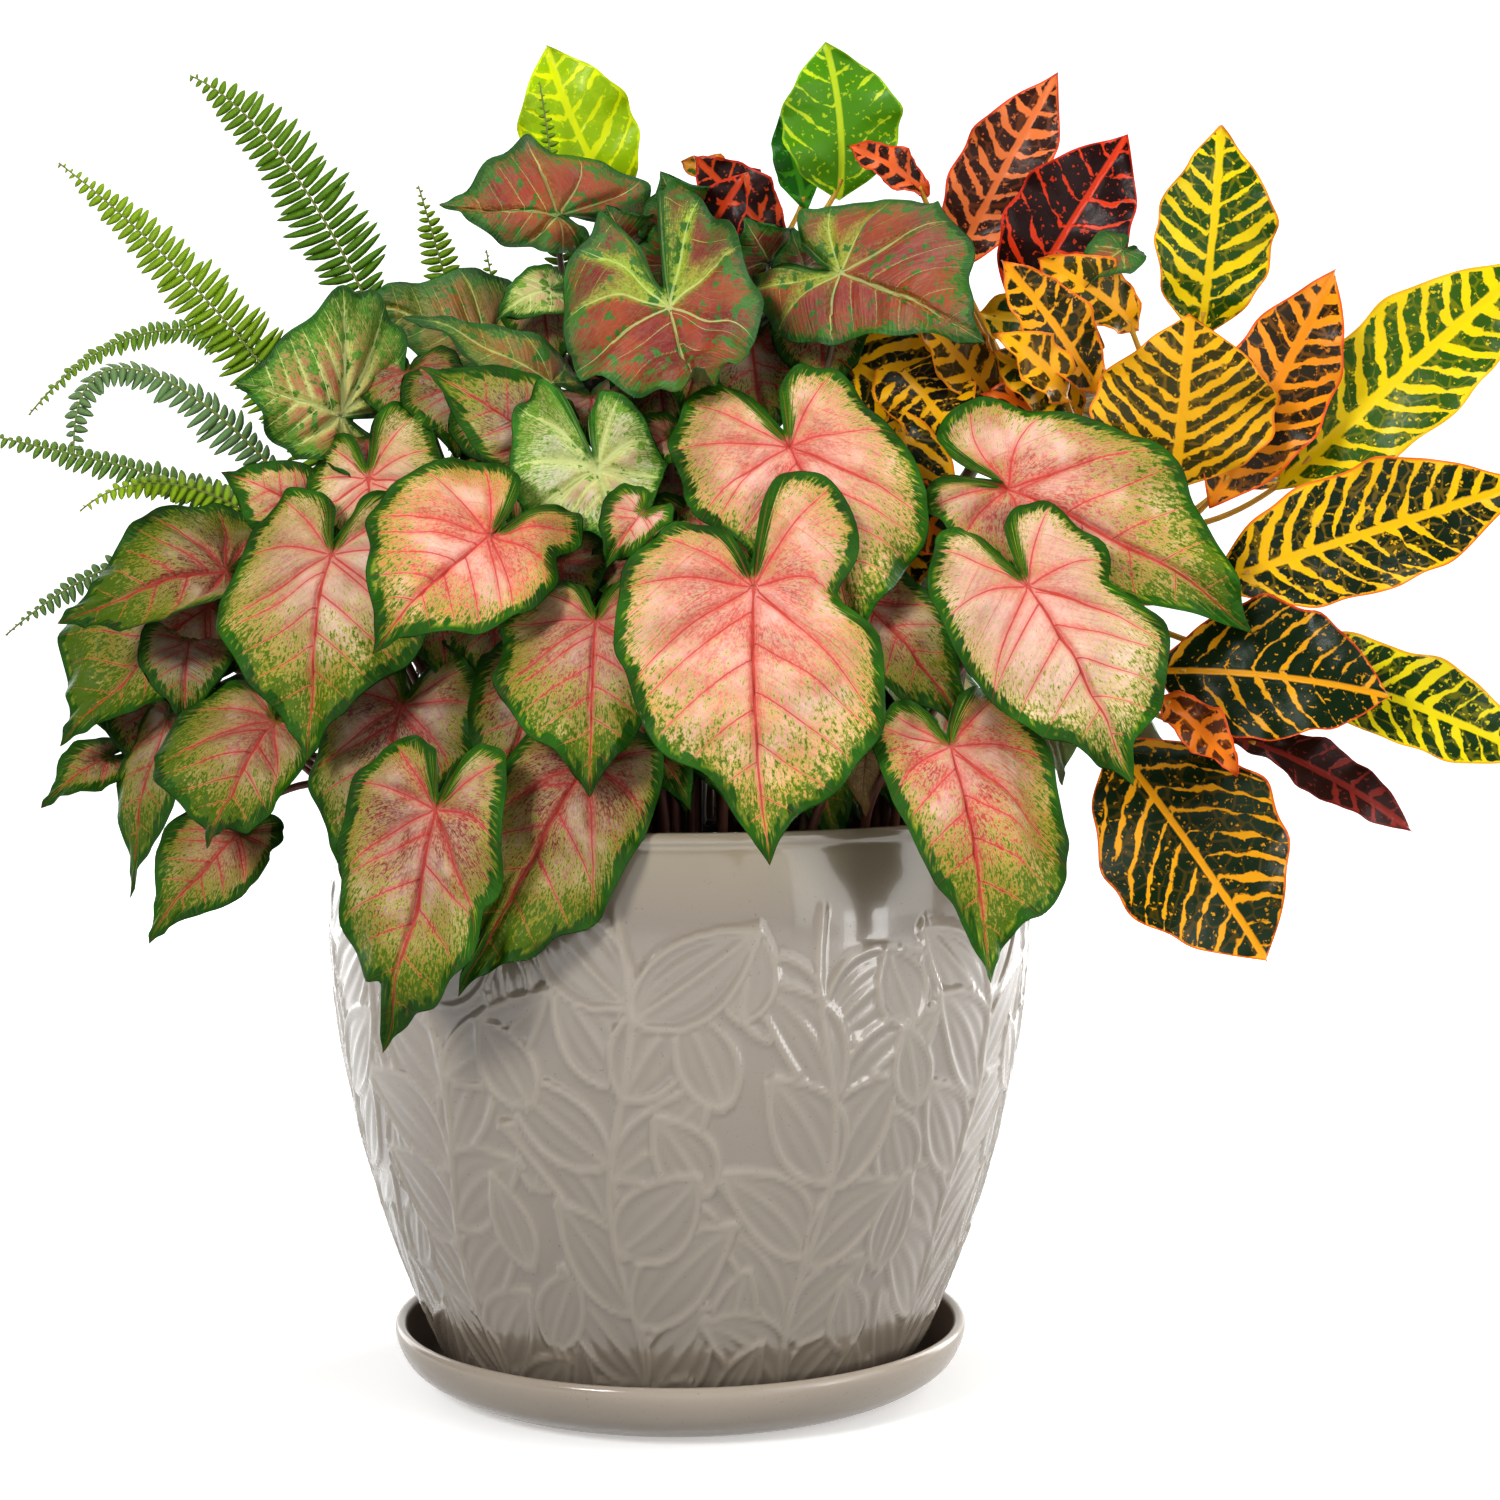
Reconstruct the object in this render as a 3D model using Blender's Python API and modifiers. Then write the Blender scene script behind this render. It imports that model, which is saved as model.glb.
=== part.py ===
"""A mixed planter of caladium, croton and sword fern in a glazed pot on its saucer.

Metres, +Z up.  The origin is the middle of the saucer's underside and the front of the plant
looks along -Y.  Leaves are thin closed blades on round stalks that stand in holes in the soil.
"""
import math
from collections import namedtuple

import bmesh
import bpy
import numpy as np
from mathutils import Matrix, Vector

MM = 0.001
CLEARANCE = 0.3 * MM

# Driving dimensions of the pot, its saucer and the soil
POT_BELLY_RADIUS = 156.2 * MM
POT_BELLY_HEIGHT = 212 * MM
POT_TOP = 260.5 * MM
POT_RIM_RADIUS = 151.5 * MM
POT_BEAD_HEIGHT = 5 * MM
POT_BEAD_STAND = 1.5 * MM
POT_WALL = 8 * MM
POT_TAPER = 36 * MM
POT_TAPER_HEIGHT = 168 * MM
POT_TAPER_POWER = 1.9
DRAIN_RADIUS = 9 * MM
SAUCER_RADIUS = 130 * MM
SAUCER_HEIGHT = 30 * MM
SAUCER_FOOT_RADIUS = 99 * MM
SAUCER_FLOOR = 8 * MM
SAUCER_WALL = 6 * MM
SOIL_TOP = 243 * MM
SOIL_DOME = 5 * MM
SOIL_FALL = 1 * MM
SOIL_LEVEL_SHARE = 0.75
HOLE_DEPTH = 9 * MM
HOLE_SIDES = 4
TURN_STEPS = 28

# Driving dimensions of the leaves and stalks
BLADE = 0.8 * MM
PETIOLE_FOOT = 2.3 * MM
PETIOLE_NECK = 1.2 * MM
PETIOLE_RISE = 0.45
STALK_END = 3 * MM
STALK_SINK = 0.55 * BLADE
STEM_FOOT = 5.5 * MM
STEM_TOP = 3.0 * MM
TWIG = 1.5 * MM
TWIG_TIP = 1.2 * MM
TWIG_DROP = 25 * MM
TWIG_STEM_POINTS = 3
STIPE_FOOT = 1.9 * MM
STIPE_TIP = 0.7 * MM

Colour = namedtuple("Colour", "red green blue rough")
GLAZE = Colour(0.36, 0.32, 0.26, 0.2)
EARTH = Colour(0.03, 0.02, 0.015, 0.95)
PINK = Colour(0.83, 0.33, 0.26, 0.45)
WINE = Colour(0.33, 0.10, 0.08, 0.45)
CREAM = Colour(0.62, 0.62, 0.33, 0.45)
TAN = Colour(0.55, 0.42, 0.26, 0.6)
GOLD = Colour(0.75, 0.42, 0.03, 0.35)
LIME = Colour(0.36, 0.50, 0.03, 0.35)
FROND = Colour(0.10, 0.25, 0.04, 0.55)

# A caladium leaf in millimetres and degrees.  Its stalk joins at the junction.  Its upper face
# looks along a bearing (0 is the front, 90 the right) and a rise.  Left and right are as seen on
# the upper face with the tip hanging.  half is the widest reach of each side from the midrib,
# lobes the reach behind the junction, arch the rise of the midrib over its chord, roll the turn
# of each side's edge towards the upper face, wave the swing of the edge, bow the midrib's sideways
# swing and belly the shift of each side's widest place towards the tip.  foot is where the stalk
# enters the soil, and back and lift are how far it comes in from behind and above the junction.
Leaf = namedtuple(
    "Leaf",
    "name junction tip face half lobes arch roll wave bow twist belly foot back lift colour fine",
    defaults=(5, (8, 8), 2, 0, 0, (0, 0), None, 25, 0, PINK, False),
)
CALADIUMS = [
    Leaf("pink_centre", (33, -152, 359), (39, -180, 250), (4, 14), (56, 54), (31, 53), arch=9,
         roll=(-14, -24), wave=2.5, bow=-3, belly=(0.05, 0.22), foot=(20, -100), fine=True),
    Leaf("pink_upper", (48, -105, 416), (76, -132, 334), (8, 20), (49, 50), (40, 38), arch=8,
         roll=(-12, -22), wave=2.5, belly=(-0.1, 0.2), foot=(34, -66), fine=True),
    Leaf("pink_right_front", (144, -132, 359), (184, -152, 279), (12, 14), (40, 45), (37, 35),
         arch=7, roll=(-16, -14), belly=(0.1, 0.2), foot=(92, -78), fine=True),
    Leaf("pink_right_behind", (139, -92, 399), (245, -85, 340), (10, 25), (32, 48), (30, 36),
         arch=8, roll=(-20, -10), twist=25, belly=(0, 0.1), foot=(86, -48), fine=True),
    Leaf("pink_between", (78, -112, 353), (124, -128, 295), (20, 10), (28, 25), (22, 20),
         roll=(30, 10), colour=WINE, foot=(54, -84)),
    Leaf("pink_low_right", (112, -147, 295), (127, -165, 202), (22, 6), (34, 47), (22, 24),
         arch=6, roll=(-14, -18), belly=(-0.12, 0.25), foot=(78, -104), lift=10, fine=True),
    Leaf("withered", (79, -128, 294), (78, -137, 266), (-20, 0), (11, 11), (8, 8), arch=3,
         roll=(70, 75), foot=(56, -112), lift=6, colour=TAN),
    Leaf("pale_left", (-143, -95, 372), (-151, -115, 287), (-14, 14), (46, 48), (31, 30),
         arch=8, roll=(-12, -14), wave=3, belly=(0.12, 0.1), foot=(-86, -62), fine=True),
    Leaf("salmon_left", (-74, -128, 380), (-119, -150, 333), (-5, 15), (45, 36), (32, 36),
         arch=7, roll=(-14, -20), belly=(0.1, 0), foot=(-50, -82), fine=True),
    Leaf("dusty_left", (-31, -133, 345), (-32, -163, 276), (-3, 12), (41, 38), (22, 24),
         arch=6, roll=(-14, -8), belly=(0.12, 0.1), foot=(-30, -88), fine=True),
    Leaf("shaded_left", (-114, -98, 309), (-132, -112, 224), (-25, 5), (36, 38), (24, 26),
         roll=(-10, -10), belly=(0.1, 0), foot=(-96, -70), lift=8, fine=True),
    Leaf("hanging_left", (-93, -164, 271), (-115, -165, 174), (-18, 8), (41, 32), (26, 30),
         arch=6, roll=(-14, -10), wave=3, bow=3, belly=(0.05, 0.2), foot=(-66, -104), lift=16,
         fine=True),
    Leaf("hanging_middle", (-34, -146, 288), (-84, -162, 196), (-14, 6), (30, 36), (20, 22),
         arch=5, roll=(-8, -14), belly=(0.1, 0.22), foot=(-30, -112), lift=12, fine=True),
    Leaf("shaded_middle", (-55, -118, 324), (-74, -141, 253), (-8, 8), (24, 26), (16, 18),
         foot=(-48, -100)),
    Leaf("pink_rim", (-14, -110, 302), (8, -136, 268), (10, 30), (19, 19), (13, 13),
         foot=(-4, -88), back=14),
    Leaf("far_left_upper", (-193, -60, 365), (-262, -72, 341), (-25, 20), (42, 30), (25, 22),
         arch=7, roll=(-16, 60), belly=(0, 0.15), foot=(-104, -44), fine=True),
    Leaf("far_left_lower", (-204, -38, 350), (-268, -45, 288), (-30, 12), (52, 33), (28, 25),
         arch=7, roll=(-16, -10), belly=(0.25, 0), foot=(-112, -20), fine=True),
    Leaf("far_left_small", (-251, -30, 283), (-280, -35, 261), (-35, 15), (14, 16), (10, 10),
         foot=(-124, 4), back=12, lift=10),
    Leaf("edge_left", (-222, -44, 302), (-238, -46, 222), (-75, 5), (15, 15), (11, 11),
         roll=(-20, -20), foot=(-124, -26), back=12, lift=14),
    Leaf("round_left", (-169, -80, 302), (-196, -92, 248), (-20, 10), (44, 22), (12, 12),
         arch=7, roll=(-16, -14), belly=(0.35, 0.3), foot=(-112, -58), lift=8, fine=True),
    Leaf("low_left", (-190, -56, 252), (-227, -62, 204), (-25, 8), (26, 24), (16, 16),
         foot=(-126, -40), back=14, lift=30),
    Leaf("small_heart", (-2, -74, 421), (-21, -80, 407), (-5, 20), (14, 14), (12, 12),
         foot=(-4, -66), back=10),
    Leaf("small_upper", (8, -68, 447), (3, -86, 427), (0, 25), (14, 12), (10, 10),
         foot=(6, -48), back=10),
    Leaf("small_curly", (-12, -122, 389), (-27, -129, 366), (-8, 15), (16, 14), (12, 10),
         roll=(40, 35), wave=3, foot=(0, -84), back=10),
    Leaf("pale_fan", (-131, -66, 404), (-124, -72, 364), (-10, 15), (28, 34), (24, 34),
         foot=(-80, -46), back=16),
    Leaf("salmon_far", (-158, -58, 390), (-196, -54, 408), (-15, 25), (18, 22), (14, 16),
         foot=(-96, -34), back=14),
    Leaf("cream_centre", (-32, -91, 407), (-22, -110, 376), (-5, 18), (36, 28), (44, 30),
         arch=-3, roll=(10, 8), wave=3, foot=(-20, -72), back=16, colour=CREAM, fine=True),
    Leaf("grey_green", (-58, -72, 420), (-107, -82, 451), (-10, 30), (24, 24), (16, 16),
         foot=(-42, -56), back=16, colour=WINE),
    Leaf("mottled_left", (-86, 2, 468), (-148, -2, 484), (-15, 30), (30, 28), (18, 18),
         foot=(-56, -22), back=16, colour=WINE),
    Leaf("mottled_narrow", (-54, -46, 446), (-117, -58, 474), (-12, 40), (16, 18), (14, 14),
         foot=(-38, -36), back=14, colour=WINE),
    Leaf("mottled_upright", (-145, -43, 432), (-190, -51, 446), (-12, 15), (57, 24), (22, 20),
         roll=(-10, -10), wave=3, belly=(0, 0.1), foot=(-72, -30), back=16, colour=WINE, fine=True),
    Leaf("wine_top", (-3, -50, 478), (13, -118, 445), (-5, 60), (50, 38), (40, 58), arch=-12,
         roll=(-14, 20), wave=3, foot=(-2, -20), back=18, colour=WINE, fine=True),
    Leaf("wine_left", (-53, -14, 521), (-105, -22, 524), (-5, 12), (35, 18), (44, 14),
         roll=(-12, -12), wave=3, foot=(-34, 4), back=18, colour=WINE, fine=True),
    Leaf("wine_right", (70, -48, 493), (130, -80, 461), (5, 8), (34, 46), (46, 36), arch=7,
         roll=(-14, -16), wave=3, belly=(-0.1, 0.15), foot=(34, -22), back=20, colour=WINE,
         fine=True),
    Leaf("peach_small", (-56, -24, 488), (-80, -30, 474), (-8, 25), (14, 16), (12, 12),
         foot=(-28, -10), back=12, colour=CREAM),
    Leaf("twisted_small", (194, -26, 505), (167, -34, 481), (0, 20), (12, 12), (8, 8),
         twist=60, foot=(116, -30), back=12, colour=WINE),
    Leaf("back_right_low", (196, 30, 300), (226, 44, 208), (105, 15), (46, 46), (32, 32),
         arch=7, foot=(116, 34), lift=10, back=20),
    Leaf("back_right", (150, 96, 340), (186, 130, 258), (135, 20), (50, 50), (34, 34),
         arch=8, foot=(92, 66), back=26),
    Leaf("back_middle_low", (62, 176, 300), (74, 214, 214), (162, 15), (48, 46), (32, 32),
         arch=7, foot=(42, 120), lift=10, back=20),
    Leaf("back_middle", (14, 120, 400), (16, 176, 318), (180, 25), (54, 52), (36, 38), arch=8,
         foot=(12, 84), back=26, colour=WINE),
    Leaf("back_left_low", (-84, 164, 300), (-104, 200, 212), (205, 15), (46, 48), (32, 32),
         arch=7, foot=(-62, 112), lift=10, back=20),
    Leaf("back_left", (-160, 84, 344), (-206, 110, 264), (238, 20), (48, 50), (34, 32), arch=8,
         foot=(-106, 58), back=26),
]


# A croton leaf in millimetres and degrees: the ends of its midrib, the way its upper face looks,
# its half width, the midrib's rise and sideways swing, the roll of its sides and the tip's twist
Lamina = namedtuple(
    "Lamina", "base tip face half arch bow roll twist wave", defaults=(6, 0, 25, 0, 1.5))

# A croton's woody stem: its foot in the soil, the two places that draw its curve, and its top
Stem = namedtuple("Stem", "name foot low high top colour leaves")
CROTONS = [
    Stem("right", (100, 4), (104, 4, 300), (196, -16, 330), (222, -30, 420), GOLD, [
        Lamina((232, -15, 478), (237, -25, 559), (5, 10), 25, 5),
        Lamina((215, -44, 399), (219, -61, 474), (0, 5), 37, 4, 0, 20),
        Lamina((231, -40, 392), (284, -45, 495), (5, 10), 23),
        Lamina((261, -30, 400), (373, -40, 501), (0, 20), 27),
        Lamina((228, -50, 358), (364, -70, 403), (0, 20), 27, 3),
        Lamina((183, -40, 441), (139, -50, 498), (0, 20), 15),
        Lamina((170, -44, 438), (136, -64, 466), (0, 25), 12),
        Lamina((205, -58, 322), (302, -84, 312), (5, 25), 31, 8),
        Lamina((240, -42, 333), (380, -60, 280), (0, 25), 21, 8),
        Lamina((240, -40, 294), (319, -52, 252), (0, 50), 12, 6, 0, 30, 40),
        Lamina((184, -82, 294), (248, -100, 202), (0, 15), 37, 6),
        Lamina((203, -88, 313), (234, -106, 281), (5, 20), 10),
        Lamina((240, -6, 404), (290, 52, 402), (120, 30), 24, 8),
    ]),
    Stem("middle", (66, 26), (70, 26, 320), (120, 24, 380), (152, 12, 450), GOLD, [
        Lamina((138, 40, 526), (171, 25, 590), (-5, 10), 17),
        Lamina((153, 10, 486), (199, -5, 558), (0, 15), 23),
        Lamina((93, -14, 458), (124, -52, 414), (0, 30), 20),
        Lamina((114, 44, 537), (76, 40, 559), (0, 20), 9),
        Lamina((152, 38, 440), (196, 96, 436), (145, 25), 23, 7),
    ]),
    Stem("back", (6, 46), (6, 46, 360), (14, 44, 420), (12, 40, 480), LIME, [
        Lamina((-28, 40, 530), (-61, 30, 603), (-5, 10), 25, 5, 3),
        Lamina((73, 55, 536), (66, 45, 607), (3, 10), 26, 5, -3),
        Lamina((58, 76, 534), (46, 72, 580), (3, 10), 10, 4),
        Lamina((-18, 36, 524), (-44, 33, 541), (-5, 20), 9),
        Lamina((26, 30, 536), (0, 26, 550), (0, 20), 8),
        Lamina((36, 26, 522), (16, 18, 547), (0, 20), 12),
        Lamina((40, 10, 492), (76, -30, 452), (0, 30), 7),
        Lamina((84, -64, 398), (122, -74, 372), (0, 20), 14),
        Lamina((34, 72, 486), (50, 138, 484), (172, 25), 22, 7),
        Lamina((-2, 70, 466), (-34, 132, 466), (200, 25), 21, 7),
    ]),
]

# A fern frond in millimetres: its foot, the two places that draw its curve, its tip, the way its
# upper face looks, how far up its leaflets start, their greatest length and how they droop
Frond = namedtuple("Frond", "name foot low high tip face start reach droop")
FRONDS = [
    Frond("tall", (-78, 24), (-92, 6, 400), (-158, 0, 560), (-219, 10, 586), (-20, 10), 0.55, 22,
          3),
    Frond("broad", (-88, 2), (-100, -28, 360), (-190, -22, 482), (-276, 0, 546), (-20, 20), 0.4,
          20, 3),
    Frond("arched", (-98, 22), (-120, 22, 470), (-230, 26, 520), (-294, 12, 435), (-20, 50), 0.5,
          9, 2),
    Frond("grey", (-100, -14), (-118, -36, 385), (-262, -60, 520), (-255, -70, 412), (-20, 60),
          0.45, 19, 4),
    Frond("low", (-106, 6), (-120, -2, 400), (-215, -6, 402), (-318, -14, 428), (-10, 45), 0.5,
          12, 3),
    Frond("lime", (-114, -10), (-130, -18, 375), (-220, -26, 430), (-262, -30, 391), (-10, 45),
          0.5, 12, 3),
    Frond("trailing", (-114, 26), (-140, 12, 400), (-235, 6, 398), (-302, -4, 336), (-10, 40),
          0.5, 12, 3),
    Frond("upright", (-66, 42), (-74, 30, 380), (-98, 20, 470), (-117, 8, 537), (-5, 10), 0.45,
          11, 2),
    Frond("inner", (-44, 64), (-46, 50, 400), (-52, 18, 520), (-63, 14, 584), (-5, 10), 0.5, 9, 2),
    Frond("centre", (-58, 30), (-62, 32, 380), (-78, 26, 450), (-88, 22, 510), (-5, 15), 0.5, 12,
          2),
    Frond("back_left", (-62, 78), (-70, 90, 400), (-130, 150, 500), (-190, 200, 440), (200, 50),
          0.4, 18, 3),
    Frond("back_middle", (-24, 92), (-40, 112, 400), (-76, 190, 480), (-104, 240, 400), (190, 50),
          0.4, 18, 3),
]

# A frond's curve is read at so many steps.  Its leaflets stand so far apart on a rib this wide,
# each with its foot on this share of the spacing and its point this share further on
FROND_STEPS = 60
LEAFLET_SPACING = 16 * MM
LEAFLET_FOOT = 0.62
LEAFLET_SWEEP = 0.8
RIB = 0.9 * MM


def main():
    clear_scene()
    plant = new_collection("PottedCaladium")
    cutters = new_collection("Cutters")
    make_saucer(plant)
    make_pot(plant)
    feet = []
    for leaf in CALADIUMS:
        make_caladium(plant, leaf, feet)
    for stem in CROTONS:
        make_croton(plant, stem, feet)
    for frond in FRONDS:
        make_frond(plant, frond, feet)
    make_soil(plant, cutters, feet)


def clear_scene():
    for thing in list(bpy.data.objects):
        bpy.data.objects.remove(thing)


def new_collection(name):
    group = bpy.data.collections.new(name)
    bpy.context.scene.collection.children.link(group)
    return group


def material(name, colour):
    """A plain Principled material, made once for each name."""
    found = bpy.data.materials.get(name)
    if found:
        return found
    made = bpy.data.materials.new(name)
    made.use_nodes = True
    shader = made.node_tree.nodes["Principled BSDF"]
    shader.inputs["Base Color"].default_value = (colour.red, colour.green, colour.blue, 1)
    shader.inputs["Roughness"].default_value = colour.rough
    made.diffuse_color = (colour.red, colour.green, colour.blue, 1)
    return made


def mesh_object(group, name, points, faces):
    mesh = bpy.data.meshes.new(name)
    mesh.from_pydata([tuple(point) for point in points], [], faces)
    mesh.update()
    made = bpy.data.objects.new(name, mesh)
    group.objects.link(made)
    return made


def turned(group, name, profile, colour, steps=TURN_STEPS, closed=True):
    """A profile of (radius, height) turned once about Z."""
    count = len(profile)
    edges = [(i, i + 1) for i in range(count - 1)]
    if closed:
        edges.append((count - 1, 0))
    mesh = bpy.data.meshes.new(name)
    mesh.from_pydata([(radius, 0, height) for radius, height in profile], edges, [])
    made = bpy.data.objects.new(name, mesh)
    group.objects.link(made)
    screw = made.modifiers.new("turn", "SCREW")
    screw.axis = "Z"
    screw.steps = steps
    screw.render_steps = steps
    screw.use_merge_vertices = True
    screw.merge_threshold = 0.01 * MM
    made.data.materials.append(material(name, colour))
    return made


def pot_radius(height):
    """The outer radius of the pot's body: a gentle belly that narrows to the foot."""
    below = POT_BELLY_HEIGHT - height
    if below > 0:
        return POT_BELLY_RADIUS - POT_TAPER * (below / POT_TAPER_HEIGHT) ** POT_TAPER_POWER
    neck = POT_BELLY_RADIUS - POT_RIM_RADIUS
    return POT_BELLY_RADIUS - neck * (below / (POT_TOP - POT_BELLY_HEIGHT)) ** 2


def pot_floor():
    return SAUCER_FLOOR + CLEARANCE


def inside_heights():
    """The heights at which the pot's inner wall and the soil's side turn, from the floor up."""
    return np.linspace(pot_floor() + POT_WALL, SOIL_TOP, 5)


def make_saucer(group):
    """A round dish with a flat underside, a flat floor and a rounded lip."""
    lip = SAUCER_RADIUS - SAUCER_WALL
    profile = [
        (0, SAUCER_FLOOR),
        (SAUCER_FOOT_RADIUS + 12 * MM, SAUCER_FLOOR),
        (lip - 2 * MM, SAUCER_HEIGHT - 9 * MM),
        (lip, SAUCER_HEIGHT - 1 * MM),
        (lip + 3 * MM, SAUCER_HEIGHT),
        (SAUCER_RADIUS, SAUCER_HEIGHT - 3 * MM),
        (SAUCER_RADIUS - 3 * MM, SAUCER_HEIGHT - 13 * MM),
        (SAUCER_FOOT_RADIUS + 9 * MM, 3 * MM),
        (SAUCER_FOOT_RADIUS, 0),
        (0, 0),
    ]
    return turned(group, "saucer", profile, GLAZE, closed=False)


def make_pot(group):
    """The pot's outer wall, its beaded rim, its inner wall and the hole in its floor."""
    low = pot_floor()
    heights = np.linspace(POT_TOP - 2 * POT_BEAD_HEIGHT, low + 4 * MM, 7)
    neck = POT_TOP - POT_BEAD_HEIGHT
    profile = [
        (POT_RIM_RADIUS - POT_BEAD_STAND, POT_TOP),
        (POT_RIM_RADIUS + POT_BEAD_STAND, POT_TOP - 2 * MM),
        (POT_RIM_RADIUS + POT_BEAD_STAND, neck),
    ]
    profile += [(pot_radius(height), height) for height in heights]
    profile.append((pot_radius(low) - 3 * MM, low))
    profile.append((DRAIN_RADIUS, low))
    profile.append((DRAIN_RADIUS, low + POT_WALL))
    profile += [(pot_radius(height) - POT_WALL, height) for height in inside_heights()]
    profile.append((pot_radius(POT_TOP) - POT_WALL, POT_TOP - 3 * MM))
    profile.append((POT_RIM_RADIUS - POT_WALL + 2 * MM, POT_TOP))
    return turned(group, "pot", profile, GLAZE)


def make_soil(group, cutters, feet):
    """Soil that fills the pot, domed a little, with a plain hole for each stalk."""
    bottom = pot_floor() + POT_WALL + CLEARANCE
    wall = POT_WALL + CLEARANCE
    crown = SOIL_TOP + SOIL_DOME
    level = SOIL_LEVEL_SHARE * (pot_radius(SOIL_TOP) - POT_WALL)
    profile = [(0, crown), (level, crown - SOIL_FALL)]
    profile += [(pot_radius(height) - wall, height) for height in inside_heights()[:0:-1]]
    profile.append((pot_radius(bottom) - wall - CLEARANCE, bottom))
    profile.append((0, bottom))
    soil = turned(group, "soil", profile, EARTH, closed=False)
    for number, (x, y, radius) in enumerate(feet):
        fit = (radius + 1.5 * CLEARANCE) / math.cos(math.pi / HOLE_SIDES)
        bpy.ops.mesh.primitive_cylinder_add(
            vertices=HOLE_SIDES, radius=fit, depth=2 * HOLE_DEPTH,
            location=(x, y, soil_height(x, y)))
        hole = bpy.context.object
        hole.name = f"hole_{number}"
        for other in list(hole.users_collection):
            other.objects.unlink(hole)
        cutters.objects.link(hole)
        hole.hide_render = True
        hole.display_type = "WIRE"
    cut = soil.modifiers.new("holes", "BOOLEAN")
    cut.operand_type = "COLLECTION"
    cut.collection = cutters
    cut.operation = "DIFFERENCE"
    return soil


def soil_height(x, y):
    """The soil's top near a place: level in the middle, falling a little at the wall."""
    edge = pot_radius(SOIL_TOP) - POT_WALL
    level = SOIL_LEVEL_SHARE * edge
    reach = math.hypot(x, y)
    crown = SOIL_TOP + SOIL_DOME - SOIL_FALL
    if reach < level:
        return crown
    return crown - (crown - SOIL_TOP) * (reach - level) / (edge - level)


def aim(bearing, rise):
    """The direction at a bearing from the front, positive to the right, and a rise."""
    b = math.radians(bearing)
    e = math.radians(rise)
    return np.array([math.sin(b) * math.cos(e), -math.cos(b) * math.cos(e), math.sin(e)])


def frame_of(start, end, face):
    """Unit vectors along the midrib, to the right side and out of the upper face."""
    along = np.array(end, float) - np.array(start, float)
    length = np.linalg.norm(along)
    along /= length
    out = aim(*face)
    out = out - along * out.dot(along)
    out /= np.linalg.norm(out)
    return along, np.cross(out, along), out, length


# One side of a caladium blade from its tip to the sinus: how far along, as a share of the
# length before the junction and of the lobe behind it, how far out as a share of the half
# width, and how much of the belly's shift it takes
SIDE = [
    (1.00, 0.00, 0.0),
    (0.90, 0.07, 0.0),
    (0.74, 0.30, 0.3),
    (0.52, 0.70, 0.8),
    (0.28, 0.95, 1.0),
    (0.05, 1.00, 1.0),
    (-0.45, 0.90, 0.4),
    (-0.84, 0.68, 0.0),
    (-1.00, 0.40, 0.0),
    (-0.80, 0.15, 0.0),
    (-0.22, 0.00, 0.0),
]
PLAIN_SIDE = [0, 2, 3, 5, 7, 8, 9, 10]

# The waves along a blade's edge: so many on the left side and on the right side
EDGE_WAVES = (2.5, 3.0)


def leaf_side(leaf, length, right):
    """The flat outline of one side: distance along, distance out and share of the way round."""
    chosen = range(len(SIDE)) if leaf.fine else PLAIN_SIDE
    rows = []
    for index in chosen:
        along, out, share = SIDE[index]
        reach = length if along > 0 else leaf.lobes[right]
        u = along * reach + share * leaf.belly[right] * length
        rows.append((u, out * leaf.half[right], index / (len(SIDE) - 1)))
    return rows


def bend(leaf, u, v, right, ring, turn):
    """Where a flat point of the blade lies once the blade is arched, rolled and waved."""
    along, side, out, length = frame_of(leaf.junction, leaf.tip, leaf.face)
    share = u / length
    if u > 0:
        rise = 4 * leaf.arch * share * (1 - share)
        swing = 4 * leaf.bow * share * (1 - share)
    else:
        rise = 4 * leaf.arch * share
        swing = 0
    half = leaf.half[right]
    roll = math.radians(leaf.roll[right]) + 1e-6
    q = v / half
    flat = half * math.sin(roll * q) / roll
    height = half * (1 - math.cos(roll * q)) / roll
    phase = len(leaf.name) + 2 * right
    height += leaf.wave * ring ** 3 * math.sin(2 * math.pi * EDGE_WAVES[right] * turn + phase)
    sign = 1 if right else -1
    lean = math.radians(leaf.twist) * max(share, 0)
    across = sign * flat * math.cos(lean) - height * math.sin(lean)
    height = height * math.cos(lean) + sign * flat * math.sin(lean)
    place = np.array(leaf.junction, float) + along * u + side * (across + swing)
    return (place + out * (height + rise)) * MM


def caladium_blade(group, leaf):
    """The open upper face of a blade: a fan round the junction and rings out to the edge."""
    length = frame_of(leaf.junction, leaf.tip, leaf.face)[3]
    right = leaf_side(leaf, length, 1)
    left = leaf_side(leaf, length, 0)
    around = [(row, 1) for row in right] + [(row, 0) for row in reversed(left[1:-1])]
    points = [bend(leaf, 0, 0, 0, 0, 0)]
    rings = (0.5, 1.0) if leaf.fine else (1.0,)
    for ring in rings:
        for (u, v, turn), side in around:
            points.append(bend(leaf, u * ring, v * ring, side, ring, turn))
    count = len(around)
    faces = []
    for i in range(count):
        j = (i + 1) % count
        faces.append((0, 1 + i, 1 + j))
        if leaf.fine:
            faces.append((1 + i, 1 + count + i, 1 + j))
            faces.append((1 + j, 1 + count + i, 1 + count + j))
    return thick_blade(group, leaf.name + "_blade", points, faces)


def thick_blade(group, name, points, faces):
    """A blade's open upper face, given its thickness on the underside."""
    made = mesh_object(group, name, points, faces)
    skin = made.modifiers.new("thickness", "SOLIDIFY")
    skin.thickness = BLADE
    skin.offset = -1
    return as_mesh(group, made)


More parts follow.
